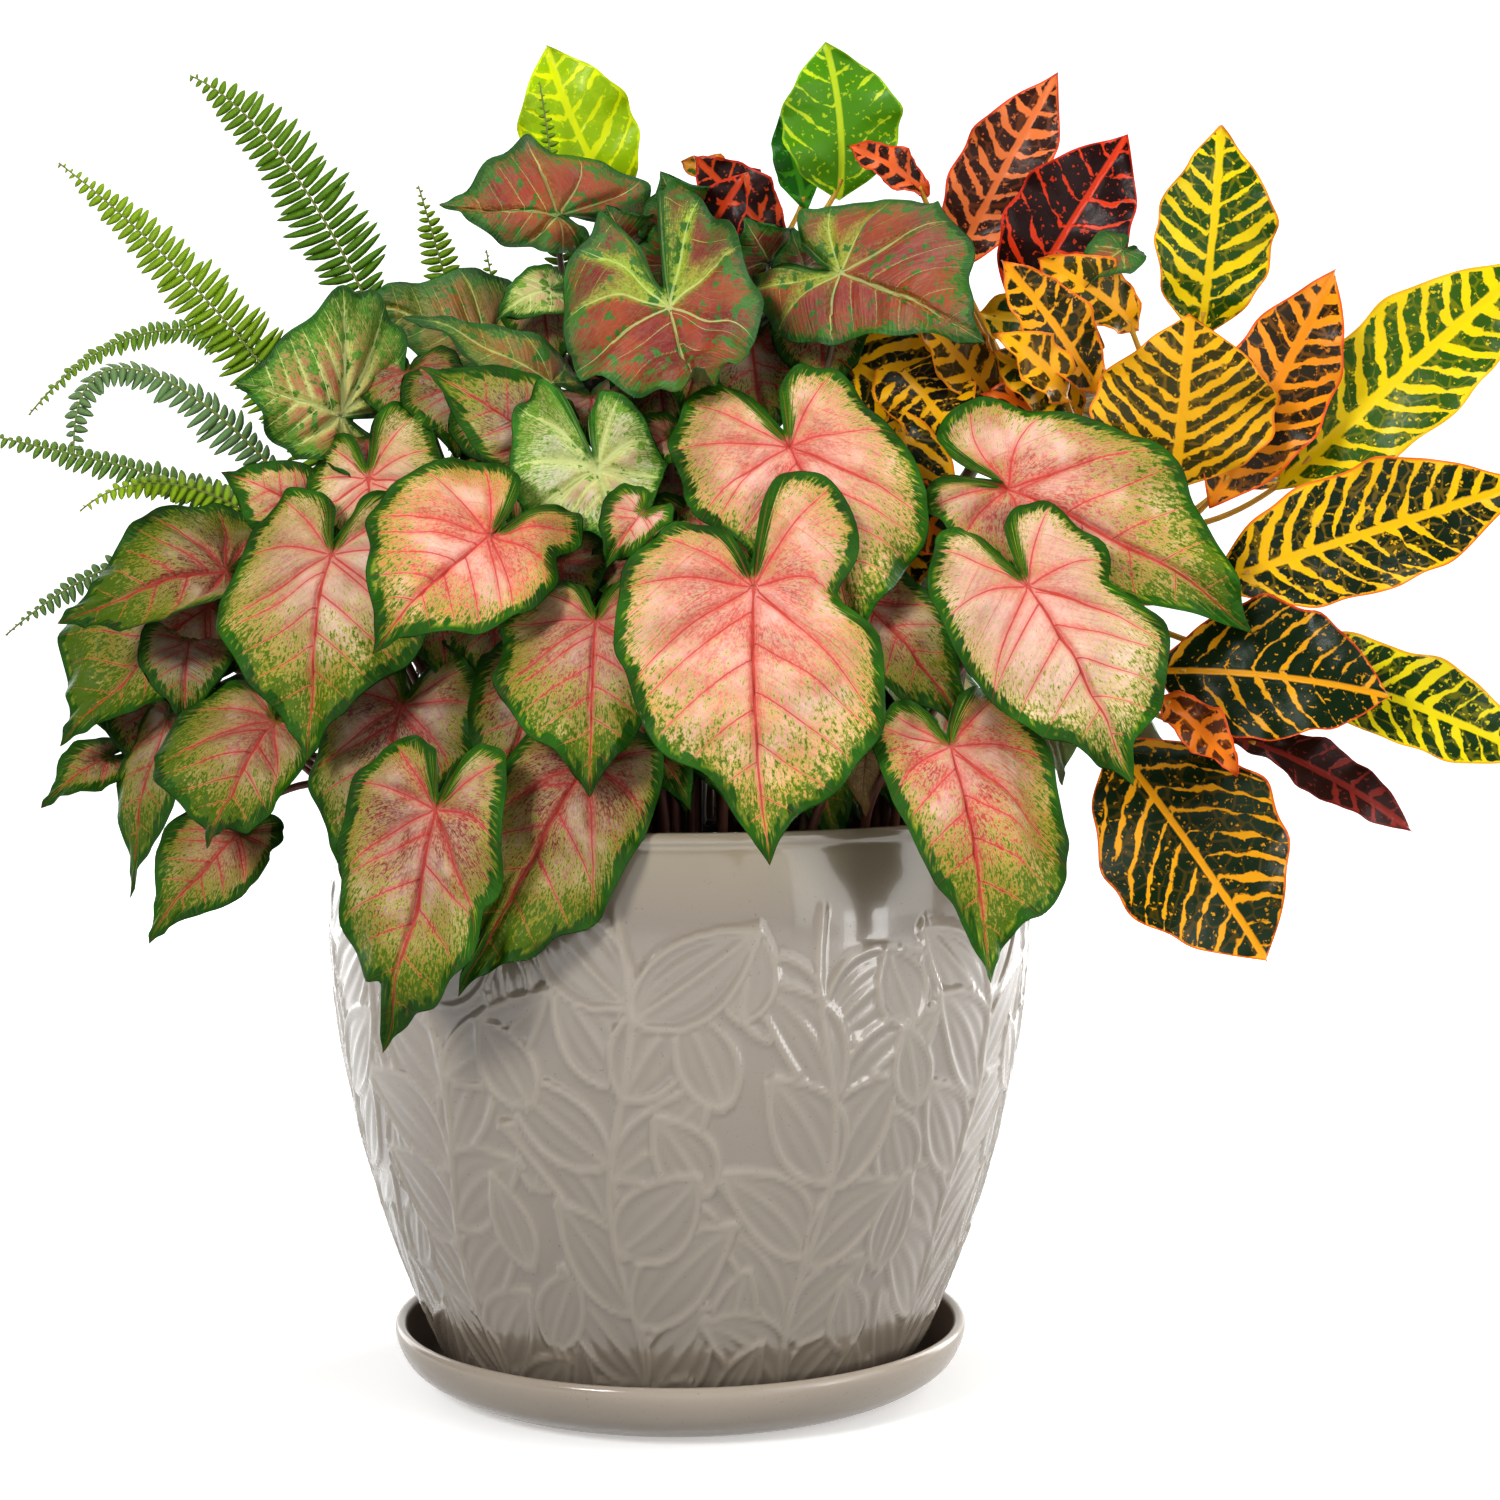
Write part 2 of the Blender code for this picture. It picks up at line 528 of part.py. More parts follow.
def as_mesh(group, thing):
    """The evaluated mesh of an object, in place of the object."""
    bpy.context.view_layer.update()
    seen = thing.evaluated_get(bpy.context.evaluated_depsgraph_get())
    mesh = bpy.data.meshes.new_from_object(seen)
    mesh.transform(thing.matrix_world)
    name = thing.name
    bpy.data.objects.remove(thing)
    made = bpy.data.objects.new(name, mesh)
    group.objects.link(made)
    return made


def bezier(a, b, c, d, steps):
    """Points along a cubic curve from a to d, drawn towards b and c on the way."""
    rows = []
    for t in np.linspace(0, 1, steps + 1):
        s = 1 - t
        rows.append(s ** 3 * a + 3 * s * s * t * b + 3 * s * t * t * c + t ** 3 * d)
    return np.array(rows)


def rooted(foot, rise, near, end, steps):
    """A stalk's path: straight up through its hole in the soil and then along a curve."""
    neck = foot + np.array([0, 0, HOLE_DEPTH])
    return np.vstack([foot, bezier(neck, rise, near, end, steps)])


def tube(group, name, points, start, end):
    """A round stalk along points in metres, from one radius to the other, with flat ends."""
    curve = bpy.data.curves.new(name, "CURVE")
    curve.dimensions = "3D"
    curve.bevel_depth = start
    curve.bevel_resolution = 0
    curve.use_fill_caps = True
    line = curve.splines.new("POLY")
    line.points.add(len(points) - 1)
    for i, point in enumerate(points):
        line.points[i].co = (*point, 1)
        line.points[i].radius = 1 + (end / start - 1) * i / (len(points) - 1)
    made = bpy.data.objects.new(name, curve)
    group.objects.link(made)
    solid = as_mesh(group, made)
    weld(solid)
    return solid


def weld(thing):
    """Close the seams that a curve leaves at its caps."""
    work = bmesh.new()
    work.from_mesh(thing.data)
    bmesh.ops.remove_doubles(work, verts=work.verts, dist=0.01 * MM)
    work.to_mesh(thing.data)
    work.free()


def union(group, name, pieces, origin, colour):
    """The pieces joined into one solid, whose object stands at the given place."""
    first = pieces[0]
    rest = bpy.data.collections.new("joining")
    for piece in pieces[1:]:
        rest.objects.link(piece)
        group.objects.unlink(piece)
    join = first.modifiers.new("join", "BOOLEAN")
    join.operand_type = "COLLECTION"
    join.collection = rest
    join.operation = "UNION"
    join.solver = "MANIFOLD"
    made = as_mesh(group, first)
    drop_scraps(made)
    for piece in list(rest.objects):
        bpy.data.objects.remove(piece)
    bpy.data.collections.remove(rest)
    made.name = name
    made.data.transform(Matrix.Translation(-Vector(origin)))
    made.location = origin
    made.data.materials.clear()
    made.data.materials.append(material(name, colour))
    return made


def drop_scraps(thing):
    """Keep the largest body and lose slivers that a join leaves behind."""
    work = bmesh.new()
    work.from_mesh(thing.data)
    bodies = []
    waiting = set(work.verts)
    while waiting:
        body = set()
        reached = [waiting.pop()]
        while reached:
            vert = reached.pop()
            body.add(vert)
            others = [edge.other_vert(vert) for edge in vert.link_edges]
            reached += [other for other in others if other in waiting]
            waiting.difference_update(others)
        bodies.append(body)
    bodies.sort(key=len)
    for body in bodies[:-1]:
        bmesh.ops.delete(work, geom=list(body), context="VERTS")
    work.to_mesh(thing.data)
    work.free()


def foot_of(growth):
    """The foot of a leaf, stem or frond in its hole in the soil, in metres."""
    x = growth.foot[0] * MM
    y = growth.foot[1] * MM
    return np.array([x, y, soil_height(x, y) - HOLE_DEPTH + CLEARANCE])


def make_caladium(group, leaf, feet):
    """One leaf: its blade and the stalk that carries it."""
    blade = caladium_blade(group, leaf)
    out = frame_of(leaf.junction, leaf.tip, leaf.face)[2]
    foot = foot_of(leaf)
    end = np.array(leaf.junction) * MM - out * STALK_SINK
    rise = np.array([0, 0, max(PETIOLE_RISE * np.linalg.norm(end - foot), 50 * MM)])
    neck = end - out * STALK_END
    near = neck - out * leaf.back * MM + np.array([0, 0, leaf.lift * MM])
    path = np.vstack([rooted(foot, foot + rise, near, neck, 3), end])
    stalk = tube(group, leaf.name + "_stalk", path, PETIOLE_FOOT, PETIOLE_NECK)
    feet.append((foot[0], foot[1], PETIOLE_FOOT))
    name = "caladium_" + leaf.name
    return union(group, name, [blade, stalk], np.array(leaf.junction) * MM, leaf.colour)


# Shares of the way along a croton leaf and of its half width there
CROTON_STATIONS = [(0.0, 0.0), (0.14, 0.55), (0.38, 0.97), (0.64, 0.93), (0.87, 0.42), (1.0, 0.0)]
LAMINA_WAVES = 2.5


def lamina_point(leaf, share, width, side):
    """Where a place on a croton leaf lies: a share along the midrib and a share out to a side."""
    along, across, out, length = frame_of(leaf.base, leaf.tip, leaf.face)
    roll = math.radians(leaf.roll) + 1e-6
    half = leaf.half * max(width, 1e-3)
    flat = half * math.sin(roll * abs(side)) / roll
    height = half * (1 - math.cos(roll * side)) / roll
    turn = 2 * math.pi * LAMINA_WAVES * share
    height += leaf.wave * abs(side) * math.sin(turn + leaf.half + 2 * side)
    lean = math.radians(leaf.twist) * share
    sign = 1 if side > 0 else -1
    out_by = sign * flat * math.cos(lean) - height * math.sin(lean)
    up_by = height * math.cos(lean) + sign * flat * math.sin(lean)
    hump = 4 * share * (1 - share)
    place = np.array(leaf.base, float) + along * length * share
    place = place + across * (out_by + leaf.bow * hump) + out * (up_by + leaf.arch * hump)
    return place * MM


def lamina_blade(group, name, leaf):
    """A croton leaf's open upper face: two strips, one on each side of the midrib."""
    points = []
    for share, width in CROTON_STATIONS:
        sides = (0,) if width == 0 else (-1, 0, 1)
        points += [lamina_point(leaf, share, width, side) for side in sides]
    last = len(points) - 1
    faces = [(0, 1, 2), (0, 2, 3)]
    for row in range(len(CROTON_STATIONS) - 3):
        left = 1 + 3 * row
        for a in (left, left + 1):
            faces += [(a, a + 3, a + 4), (a, a + 4, a + 1)]
    faces += [(last - 3, last, last - 2), (last - 2, last, last - 1)]
    return thick_blade(group, name, points, faces)


def make_croton(group, stem, feet):
    """One woody stem with its leaves, each on a short stalk."""
    foot = foot_of(stem)
    low, high, top = (np.array(place) * MM for place in (stem.low, stem.high, stem.top))
    path = rooted(foot, low, high, top, 7)
    pieces = [tube(group, stem.name + "_stem", path, STEM_FOOT, STEM_TOP)]
    for number, leaf in enumerate(stem.leaves):
        name = f"{stem.name}_leaf_{number}"
        pieces.append(lamina_blade(group, name, leaf))
        out = frame_of(leaf.base, leaf.tip, leaf.face)[2]
        end = lamina_point(leaf, CROTON_STATIONS[1][0], 0, 0) - out * BLADE * 0.5
        base = np.array(leaf.base) * MM
        drop = np.array([0, 0, min(TWIG_DROP, 0.6 * np.linalg.norm(base - top))])
        gaps = np.linalg.norm(path[TWIG_STEM_POINTS:] - (base - drop), axis=1)
        start = path[TWIG_STEM_POINTS + int(np.argmin(gaps))]
        twig = bezier(start, (start + base - drop) / 2, base - out * 4 * TWIG, end, 2)
        pieces.append(tube(group, name + "_stalk", twig, TWIG, TWIG_TIP))
    feet.append((foot[0], foot[1], STEM_FOOT))
    return union(group, "croton_" + stem.name, pieces, foot, stem.colour)


def make_frond(group, frond, feet):
    """One fern frond: a stipe and a thin arched blade cut to the rib into leaflets."""
    foot = foot_of(frond)
    low, high, tip = (np.array(place) * MM for place in (frond.low, frond.high, frond.tip))
    curve = bezier(foot + np.array([0, 0, HOLE_DEPTH]), low, high, tip, FROND_STEPS)
    first = int(frond.start * FROND_STEPS)
    length = np.linalg.norm(np.diff(curve[first:], axis=0), axis=1).sum()
    count = int(length / LEAFLET_SPACING)
    points = []
    faces = []
    for i in range(count + 1):
        share = i / count
        here, side, out = frond_frame(frond, curve, first, share)
        rib = RIB * (1 - 0.5 * share)
        points += [here - side * rib, here + side * rib]
        if i == count:
            break
        behind, side, out = frond_frame(frond, curve, first, share + LEAFLET_FOOT / count)
        points += [behind - side * rib, behind + side * rib]
        ahead, side, out = frond_frame(frond, curve, first, min(share + LEAFLET_SWEEP / count, 1))
        reach = leaflet_length(frond, share) * MM
        droop = out * frond.droop * reach / frond.reach
        points += [ahead - side * reach - droop, ahead + side * reach - droop]
        a = 6 * i
        faces += [(a, a + 3, a + 1), (a, a + 2, a + 3), (a, a + 4, a + 2), (a + 1, a + 3, a + 5)]
        faces += [(a + 2, a + 7, a + 3), (a + 2, a + 6, a + 7)]
    blade = thick_blade(group, frond.name + "_blade", points, faces)
    sunk = curve[first + 3] - frond_frame(frond, curve, first, 0.05)[2] * BLADE * 0.5
    path = np.vstack([foot, curve[:first - 2:6], sunk])
    stipe = tube(group, frond.name + "_stipe", path, STIPE_FOOT, STIPE_TIP)
    feet.append((foot[0], foot[1], STIPE_FOOT))
    return union(group, "fern_" + frond.name, [blade, stipe], foot, FROND)


def leaflet_length(frond, share):
    """The length of the leaflets at a share of the way up the blade."""
    return frond.reach * min(1, 0.5 + 2.5 * share) * max(1 - share ** 2.2, 0.06) ** 0.8


def frond_frame(frond, curve, first, share):
    """A place on the rib, and the unit vectors to its side and out of its upper face."""
    at = first + share * (len(curve) - 1 - first)
    low = min(int(at), len(curve) - 2)
    place = curve[low] + (curve[low + 1] - curve[low]) * (at - low)
    tangent = curve[low + 1] - curve[max(low - 1, 0)]
    tangent = tangent / np.linalg.norm(tangent)
    out = aim(*frond.face)
    out = out - tangent * out.dot(tangent)
    out = out / np.linalg.norm(out)
    return place, np.cross(out, tangent), out


main()
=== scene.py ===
"""The looks of a planter: caladiums, a croton and a sword fern in a glazed pot on its saucer.

Metres, +Z up, the front towards -Y.  Sizes in the tables are millimetres and angles degrees.
"""
from collections import namedtuple
from functools import partial

import bpy
import numpy as np
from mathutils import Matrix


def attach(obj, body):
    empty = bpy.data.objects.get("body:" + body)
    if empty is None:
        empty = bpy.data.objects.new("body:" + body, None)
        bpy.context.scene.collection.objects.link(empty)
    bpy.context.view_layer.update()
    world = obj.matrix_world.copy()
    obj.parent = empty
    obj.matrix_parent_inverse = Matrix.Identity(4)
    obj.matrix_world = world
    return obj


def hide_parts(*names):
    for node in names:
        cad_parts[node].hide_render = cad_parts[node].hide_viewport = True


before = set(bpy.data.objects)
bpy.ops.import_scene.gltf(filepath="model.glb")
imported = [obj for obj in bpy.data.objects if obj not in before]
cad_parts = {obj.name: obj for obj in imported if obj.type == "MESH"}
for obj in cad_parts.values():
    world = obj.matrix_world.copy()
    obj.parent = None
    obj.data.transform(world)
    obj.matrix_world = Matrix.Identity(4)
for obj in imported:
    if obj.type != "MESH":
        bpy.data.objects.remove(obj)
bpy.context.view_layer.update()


# The studio: a pale floor that curves up behind, a soft white sky and seven large soft lights.
# The camera stands where the photograph was taken from.

def linear(code):
    """An sRGB hex colour as linear red, green, blue and 1: the sRGB curve undone for each channel."""
    part = np.array([int(code[i:i + 2], 16) / 255 for i in (1, 3, 5)])
    part = np.where(part <= 0.04045, part / 12.92, ((part + 0.055) / 1.055) ** 2.4)
    return (*part.tolist(), 1.0)


def feed(node, inputs):
    """Give a node's inputs their values: a number, a hex colour, a socket, or a node, whose first
    output it then is."""
    for name, value in inputs.items():
        if isinstance(value, bpy.types.Node):
            value = value.outputs[0]
        if isinstance(value, bpy.types.NodeSocket):
            node.id_data.links.new(value, node.inputs[name])
        else:
            node.inputs[name].default_value = linear(value) if isinstance(value, str) else value


def add_node(tree, kind, *values, **named):
    """Add a node of a kind: values go to its inputs in their order, capitalised names are inputs
    as well, and lower-case names are its settings."""
    node = tree.nodes.new("ShaderNode" + kind)
    for setting in [name for name in named if name.islower()]:
        setattr(node, setting, named.pop(setting))
    feed(node, dict(enumerate(values)) | named)
    return node


def new_material(name):
    """An empty material, the function that adds nodes to it, and its Principled shader."""
    made = bpy.data.materials.new(name)
    made.use_nodes = True
    return made, partial(add_node, made.node_tree), made.node_tree.nodes["Principled BSDF"]


CAMERA_PLACE = (0.0315, -1.32, 0.3676)
CAMERA_PITCH = 3.61
FOCAL_PIXELS = 2936
IMAGE_PIXELS = 1500
SENSOR = 36.0
SKY_LIGHT = 0.2

lens = bpy.data.cameras.new("camera")
lens.sensor_width = SENSOR
lens.lens = FOCAL_PIXELS / IMAGE_PIXELS * SENSOR
lens.clip_end = 50
camera = bpy.data.objects.new("camera", lens)
camera.location = CAMERA_PLACE
camera.rotation_euler = (np.radians(90 - CAMERA_PITCH), 0, 0)
scene = bpy.context.scene
scene.collection.objects.link(camera)
scene.camera = camera

world = bpy.data.worlds.new("studio")
world.use_nodes = True
seen = add_node(world.node_tree, "LightPath").outputs["Is Camera Ray"]
glow = add_node(world.node_tree, "MapRange", seen, 0, 1, SKY_LIGHT, 1.0)
feed(world.node_tree.nodes["Background"], {"Color": "#FFFFFF", "Strength": glow})
scene.world = world
scene.view_settings.view_transform = "Standard"
scene.view_settings.look = "Medium High Contrast"
scene.view_settings.exposure = 0.0

# A light's place, the place it faces, its width and height, and its power in watts
LIGHTS = {
    "key": ((-1.2, -1.7, 1.35), (0, 0, 0.33), 0.55, 0.55, 27),
    "window": ((1.9, -1.0, 0.8), (0, 0, 0.2), 2.2, 1.4, 22),
    "low_window": ((0.95, -0.58, 0.12), (0, 0, 0.16), 0.3, 0.2, 0.9),
    "front": ((0.1, -2.3, 0.5), (0, 0, 0.25), 3.0, 1.0, 7),
    "left_edge": ((-1.35, 1.5, 0.7), (0, 0, 0.2), 0.9, 1.6, 10),
    "right_edge": ((1.6, 1.3, 0.7), (0, 0, 0.2), 0.9, 1.6, 23),
    "top": ((0.1, -0.2, 2.0), (0, 0, 0.3), 0.7, 0.7, 9),
}
for name, (place, target, width, height, power) in LIGHTS.items():
    light = bpy.data.lights.new(name, "AREA")
    light.shape = "RECTANGLE"
    light.size = width
    light.size_y = height
    light.energy = power
    stand = bpy.data.objects.new(name, light)
    stand.location = place
    away = np.subtract(place, target)
    stand.rotation_euler = (np.arctan2(np.hypot(away[0], away[1]), away[2]), 0, np.arctan2(away[0], -away[1]))
    scene.collection.objects.link(stand)

# The backdrop is a sheet of white acrylic, lit from under, that lies flat and curves up far behind;
# round the pot it glows less, so that the contact shadow shows: how strongly near it and far off,
# and the distances between which that grows; half its width, where it starts, turns up and ends
CARD_GLOW = (0.34, 0.9)
CARD_POOL = (0.2, 1.1)
CARD_HALF = 6.0
CARD_FRONT = -4.0
CARD_TURN = 4.0
CARD_CURVE = 1.5
CARD_TOP = 6.0

turn = np.linspace(0, np.pi / 2, 24)
depth = np.concatenate([[CARD_FRONT], CARD_TURN + CARD_CURVE * np.sin(turn), [CARD_TURN + CARD_CURVE]])
height = np.concatenate([[0], CARD_CURVE * (1 - np.cos(turn)), [CARD_TOP]])
left = np.stack([np.full(depth.size, -CARD_HALF), depth, height], 1)
strip = np.arange(depth.size - 1)
card_faces = np.stack([strip, strip + depth.size, strip + depth.size + 1, strip + 1], 1)
card_mesh = bpy.data.meshes.new("backdrop")
card_mesh.from_pydata(np.vstack([left, left * (-1, 1, 1)]), [], card_faces.tolist())
card_mesh.polygons.foreach_set("use_smooth", np.ones(len(card_faces), bool))
card = bpy.data.objects.new("backdrop", card_mesh)
scene.collection.objects.link(card)
material, node, shader = new_material("white_acrylic_sheet")
spot = node("TexCoord").outputs["Object"]
tint = node("MixRGB", node("TexNoise", spot, Scale=3.0), "#F4F4F4", "#F8F8F8")
far = node("VectorMath", spot, operation="LENGTH").outputs["Value"]
feed(shader, {"Base Color": tint, "Roughness": 0.9, "Specular IOR Level": 0.1, "Emission Color": tint,
              "Emission Strength": node("MapRange", far, *CARD_POOL, *CARD_GLOW)})
card_mesh.materials.append(material)
card.visible_diffuse = False


# The saucer: a thrown stoneware dish under the pot, dipped in the same taupe glaze, with a
# rounded lip, a flat foot, a browner tone towards the foot and a dark brown well under the pot:
# bare clay deepened by painted shade.

MM = 0.001
Patch = namedtuple("Patch", "place fields slot", defaults=({}, 0))


def build_piece(name, patches, materials, slot, *nodes, tube=False):
    """A piece from patches.  A patch is a grid of places in metres, rows by columns, whose columns
    close round in a ring.  An end row that is all one place is a pole and becomes one vertex; with
    tube the last row joins the first.  Fields are named values at the same places, and a patch's
    slot is the number of its material.  The piece rides on the one body and stands for the named
    CAD nodes."""
    places, quads, threes, four, three, fields = [], [], [], [], [], {}
    start = 0
    for patch in patches:
        rows, columns = patch.place.shape[:2]
        index = np.arange(rows * columns).reshape(rows, columns)
        for end in (0, -1):
            if np.ptp(patch.place[end], axis=0).max() < 1e-7:
                index[end] = index[end, 0]
        used, packed = np.unique(index, return_inverse=True)
        packed = packed.reshape(rows, columns) + start
        if tube:
            packed = np.vstack([packed, packed[:1]])
        near, far = packed[:-1], packed[1:]
        faces = np.stack([near, np.roll(near, -1, 1), np.roll(far, -1, 1), far], -1).reshape(-1, 4)
        pole_near = faces[:, 0] == faces[:, 1]
        pole_far = faces[:, 2] == faces[:, 3]
        quads.append(faces[~pole_near & ~pole_far])
        threes.append(np.vstack([faces[pole_near][:, [0, 2, 3]], faces[pole_far & ~pole_near][:, :3]]))
        four.append(np.full(len(quads[-1]), patch.slot))
        three.append(np.full(len(threes[-1]), patch.slot))
        places.append(patch.place.reshape(-1, 3)[used])
        for field, values in patch.fields.items():
            values = np.broadcast_to(values, (rows, columns, np.shape(values)[-1]))
            fields.setdefault(field, []).append((start, values.reshape(rows * columns, -1)[used]))
        start += used.size
    mesh = bpy.data.meshes.new(name)
    faces = np.vstack(quads).tolist() + np.vstack(threes).tolist()
    mesh.from_pydata(np.vstack(places), [], faces)
    mesh.polygons.foreach_set("material_index", np.concatenate(four + three).astype(np.int32))
    mesh.polygons.foreach_set("use_smooth", np.ones(len(faces), bool))
    kinds = {1: ("FLOAT", "value"), 3: ("FLOAT_VECTOR", "vector"), 4: ("FLOAT_COLOR", "color")}
    for field, parts in fields.items():
        width = parts[0][1].shape[1]
        values = np.zeros((start, width), np.float32)
        for first, part in parts:
            values[first:first + len(part)] = part
        kind, key = kinds[width]
        mesh.attributes.new(field, kind, "POINT").data.foreach_set(key, values.ravel())
    for material in materials:
        mesh.materials.append(material)
    mesh.update()
    piece = bpy.data.objects.new(name, mesh)
    scene.collection.objects.link(piece)
    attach(piece, "root")
    if nodes:
        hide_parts(*nodes)


def through(knots, values, at):
    """A smooth curve through knots: cubic pieces whose slopes are those of the neighbours' chords."""
    knots = np.asarray(knots, float)
    values = np.asarray(values, float)
    slopes = np.gradient(values, knots)
    at = np.clip(at, knots[0], knots[-1])
    low = np.clip(np.searchsorted(knots, at, side="right") - 1, 0, knots.size - 2)
    wide = knots[low + 1] - knots[low]
    t = (at - knots[low]) / wide
    near = (1 + 2 * t) * (1 - t) ** 2 * values[low] + t * (1 - t) ** 2 * wide * slopes[low]
    return near + t * t * (3 - 2 * t) * values[low + 1] + t * t * (t - 1) * wide * slopes[low + 1]


def turned(radii, heights, steps, lift=0):
    """A profile turned about Z, in metres: each row is a circle of the profile's radius, and the
    lift there, at its height."""
    angle = np.linspace(0, 2 * np.pi, steps, endpoint=False)
    radius = np.asarray(radii)[:, None] + lift
    tall = np.broadcast_to(np.asarray(heights)[:, None], (len(heights), steps))
    return np.stack([radius * np.cos(angle), radius * np.sin(angle), tall], -1) * MM


def lengths(line):
    """How far along a line each of its places is: the running sum of its steps' lengths."""
    return np.concatenate([[0], np.cumsum(np.linalg.norm(np.diff(line, axis=0), axis=1))])


def rounded(corners, step):
    """A polyline through corners, read every step, then each place three times averaged with twice
    its own weight and once each neighbour's."""
    corners = np.asarray(corners, float)
    way = lengths(corners)
    at = np.linspace(0, way[-1], int(way[-1] / step) + 1)
    line = np.stack([np.interp(at, way, corners[:, i]) for i in (0, 1)], 1)
    for _ in range(3):
        line[1:-1] = (line[:-2] + 2 * line[1:-1] + line[2:]) / 4
    return line


SAUCER_PROFILE = [
    (0, 8), (111, 8), (122, 21), (124.3, 28.2), (126, 29.7), (128.4, 29.6), (130, 27.6), (128.6, 20),
    (124, 11), (115, 5), (107, 1.6), (103, 0.2), (99, 0), (0, 0),
]
SAUCER_STEPS = 168
SAUCER_STEP = 2.6
# The well under the pot, bare clay darkened by painted shade: its radius, and how high it reaches
# inside and on the slope beyond
WELL_EDGE = 111
WELL_HEIGHT = 5.5
WELL_SLOPE = 0.9
WELL_END = 124

PLAIN_GLAZE, node, shader = new_material("glazed_stoneware_plain")
# Dipped glaze on stoneware: an even taupe, glossy, slightly uneven, and browner towards the foot
spot = node("TexCoord").outputs["Object"]
cloud = node("TexNoise", spot, Scale=14.0, Detail=4.0)
tone = node("MixRGB", cloud, "#A4988A", "#B6AA9C")
high = node("SeparateXYZ", spot).outputs["Z"]
rise = node("MapRange", high, 0.0, 0.012, 0.75, 0.0, interpolation_type="SMOOTHSTEP")
tone = node("MixRGB", rise, tone, "#A09182")
speck = node("TexNoise", spot, Scale=900.0, Detail=2.0)
tone = node("MixRGB", node("MapRange", speck, 0.68, 0.74, 0.0, 0.5), tone, "#6F6558")
bare = node("Attribute", attribute_name="bare").outputs["Fac"]
# Painted shade: the well's dark brown is bare clay deepened by the shade under the pot
tone = node("MixRGB", bare, tone, "#5E4C3C")
gloss = node("Math", bare, 0.6, node("MapRange", cloud, 0, 1, 0.12, 0.26), operation="MULTIPLY_ADD")
ripple = node("Bump", Height=cloud, Strength=0.35, Distance=0.0015)
fine = node("Bump", Height=speck, Normal=ripple, Strength=0.12, Distance=0.0003)
feed(shader, {"Base Color": tone, "Roughness": gloss, "Normal": fine, "Specular IOR Level": 0.5})
line = rounded(SAUCER_PROFILE, SAUCER_STEP)[::-1]
well = WELL_HEIGHT + WELL_SLOPE * np.maximum(line[:, 0] - WELL_EDGE, 0)
bare_and_shaded = (line[:, 1] > well) & (line[:, 0] < WELL_END)
dish = Patch(turned(line[:, 0], line[:, 1], SAUCER_STEPS), {"bare": bare_and_shaded[:, None, None] * 1.0})
build_piece("saucer_dish", [dish], [PLAIN_GLAZE], "glaze", "saucer")


# The pot: stoneware pressed in a mould with low leafy stems, then glazed.  The taupe glaze pools
# grey in the hollows and runs thin and pale over the ridges; the rim is a narrow plain bead.
POT_BELLY_RADIUS = 156.2
POT_BELLY_HEIGHT = 212
POT_TOP = 260.5
POT_RIM_RADIUS = 151.5
POT_WALL = 8
POT_TAPER = 36
POT_TAPER_HEIGHT = 168
POT_TAPER_POWER = 1.9
POT_FLOOR = 8.3
DRAIN_RADIUS = 9
POT_STEPS = 700
POT_ROW = 2.0
RELIEF_HEIGHT = 1.9
RELIEF_STEMS = 11
RELIEF_TOP = 234
RELIEF_FOOT = 12
RELIEF_GROUND = 0.25
RELIEF_SEED = 8
RIDGE_HALF = 1.7
STEM_SWING = 6
STEM_PITCH = 26
# The side leaves' pitch up a stem, and that of the lone leaves between stems
LEAF_PITCH = 33
LONE_PITCH = 36
# A pressed leaf's ridges: the share of its half width at which each runs, and how high it stands
RIDGES = ((1.0, 0.8), (0.5, 0.22), (0.0, 0.4))


def pot_radius(height):
    """The pot's outer radius: the belly's, less a power of the way down to the foot, or less a
    square of the way up to the rim."""
    below = POT_BELLY_HEIGHT - np.asarray(height, float)
    taper = POT_TAPER * (np.maximum(below, 0) / POT_TAPER_HEIGHT) ** POT_TAPER_POWER
    neck = (POT_BELLY_RADIUS - POT_RIM_RADIUS) * (np.minimum(below, 0) / (POT_TOP - POT_BELLY_HEIGHT)) ** 2
    return POT_BELLY_RADIUS - taper - neck


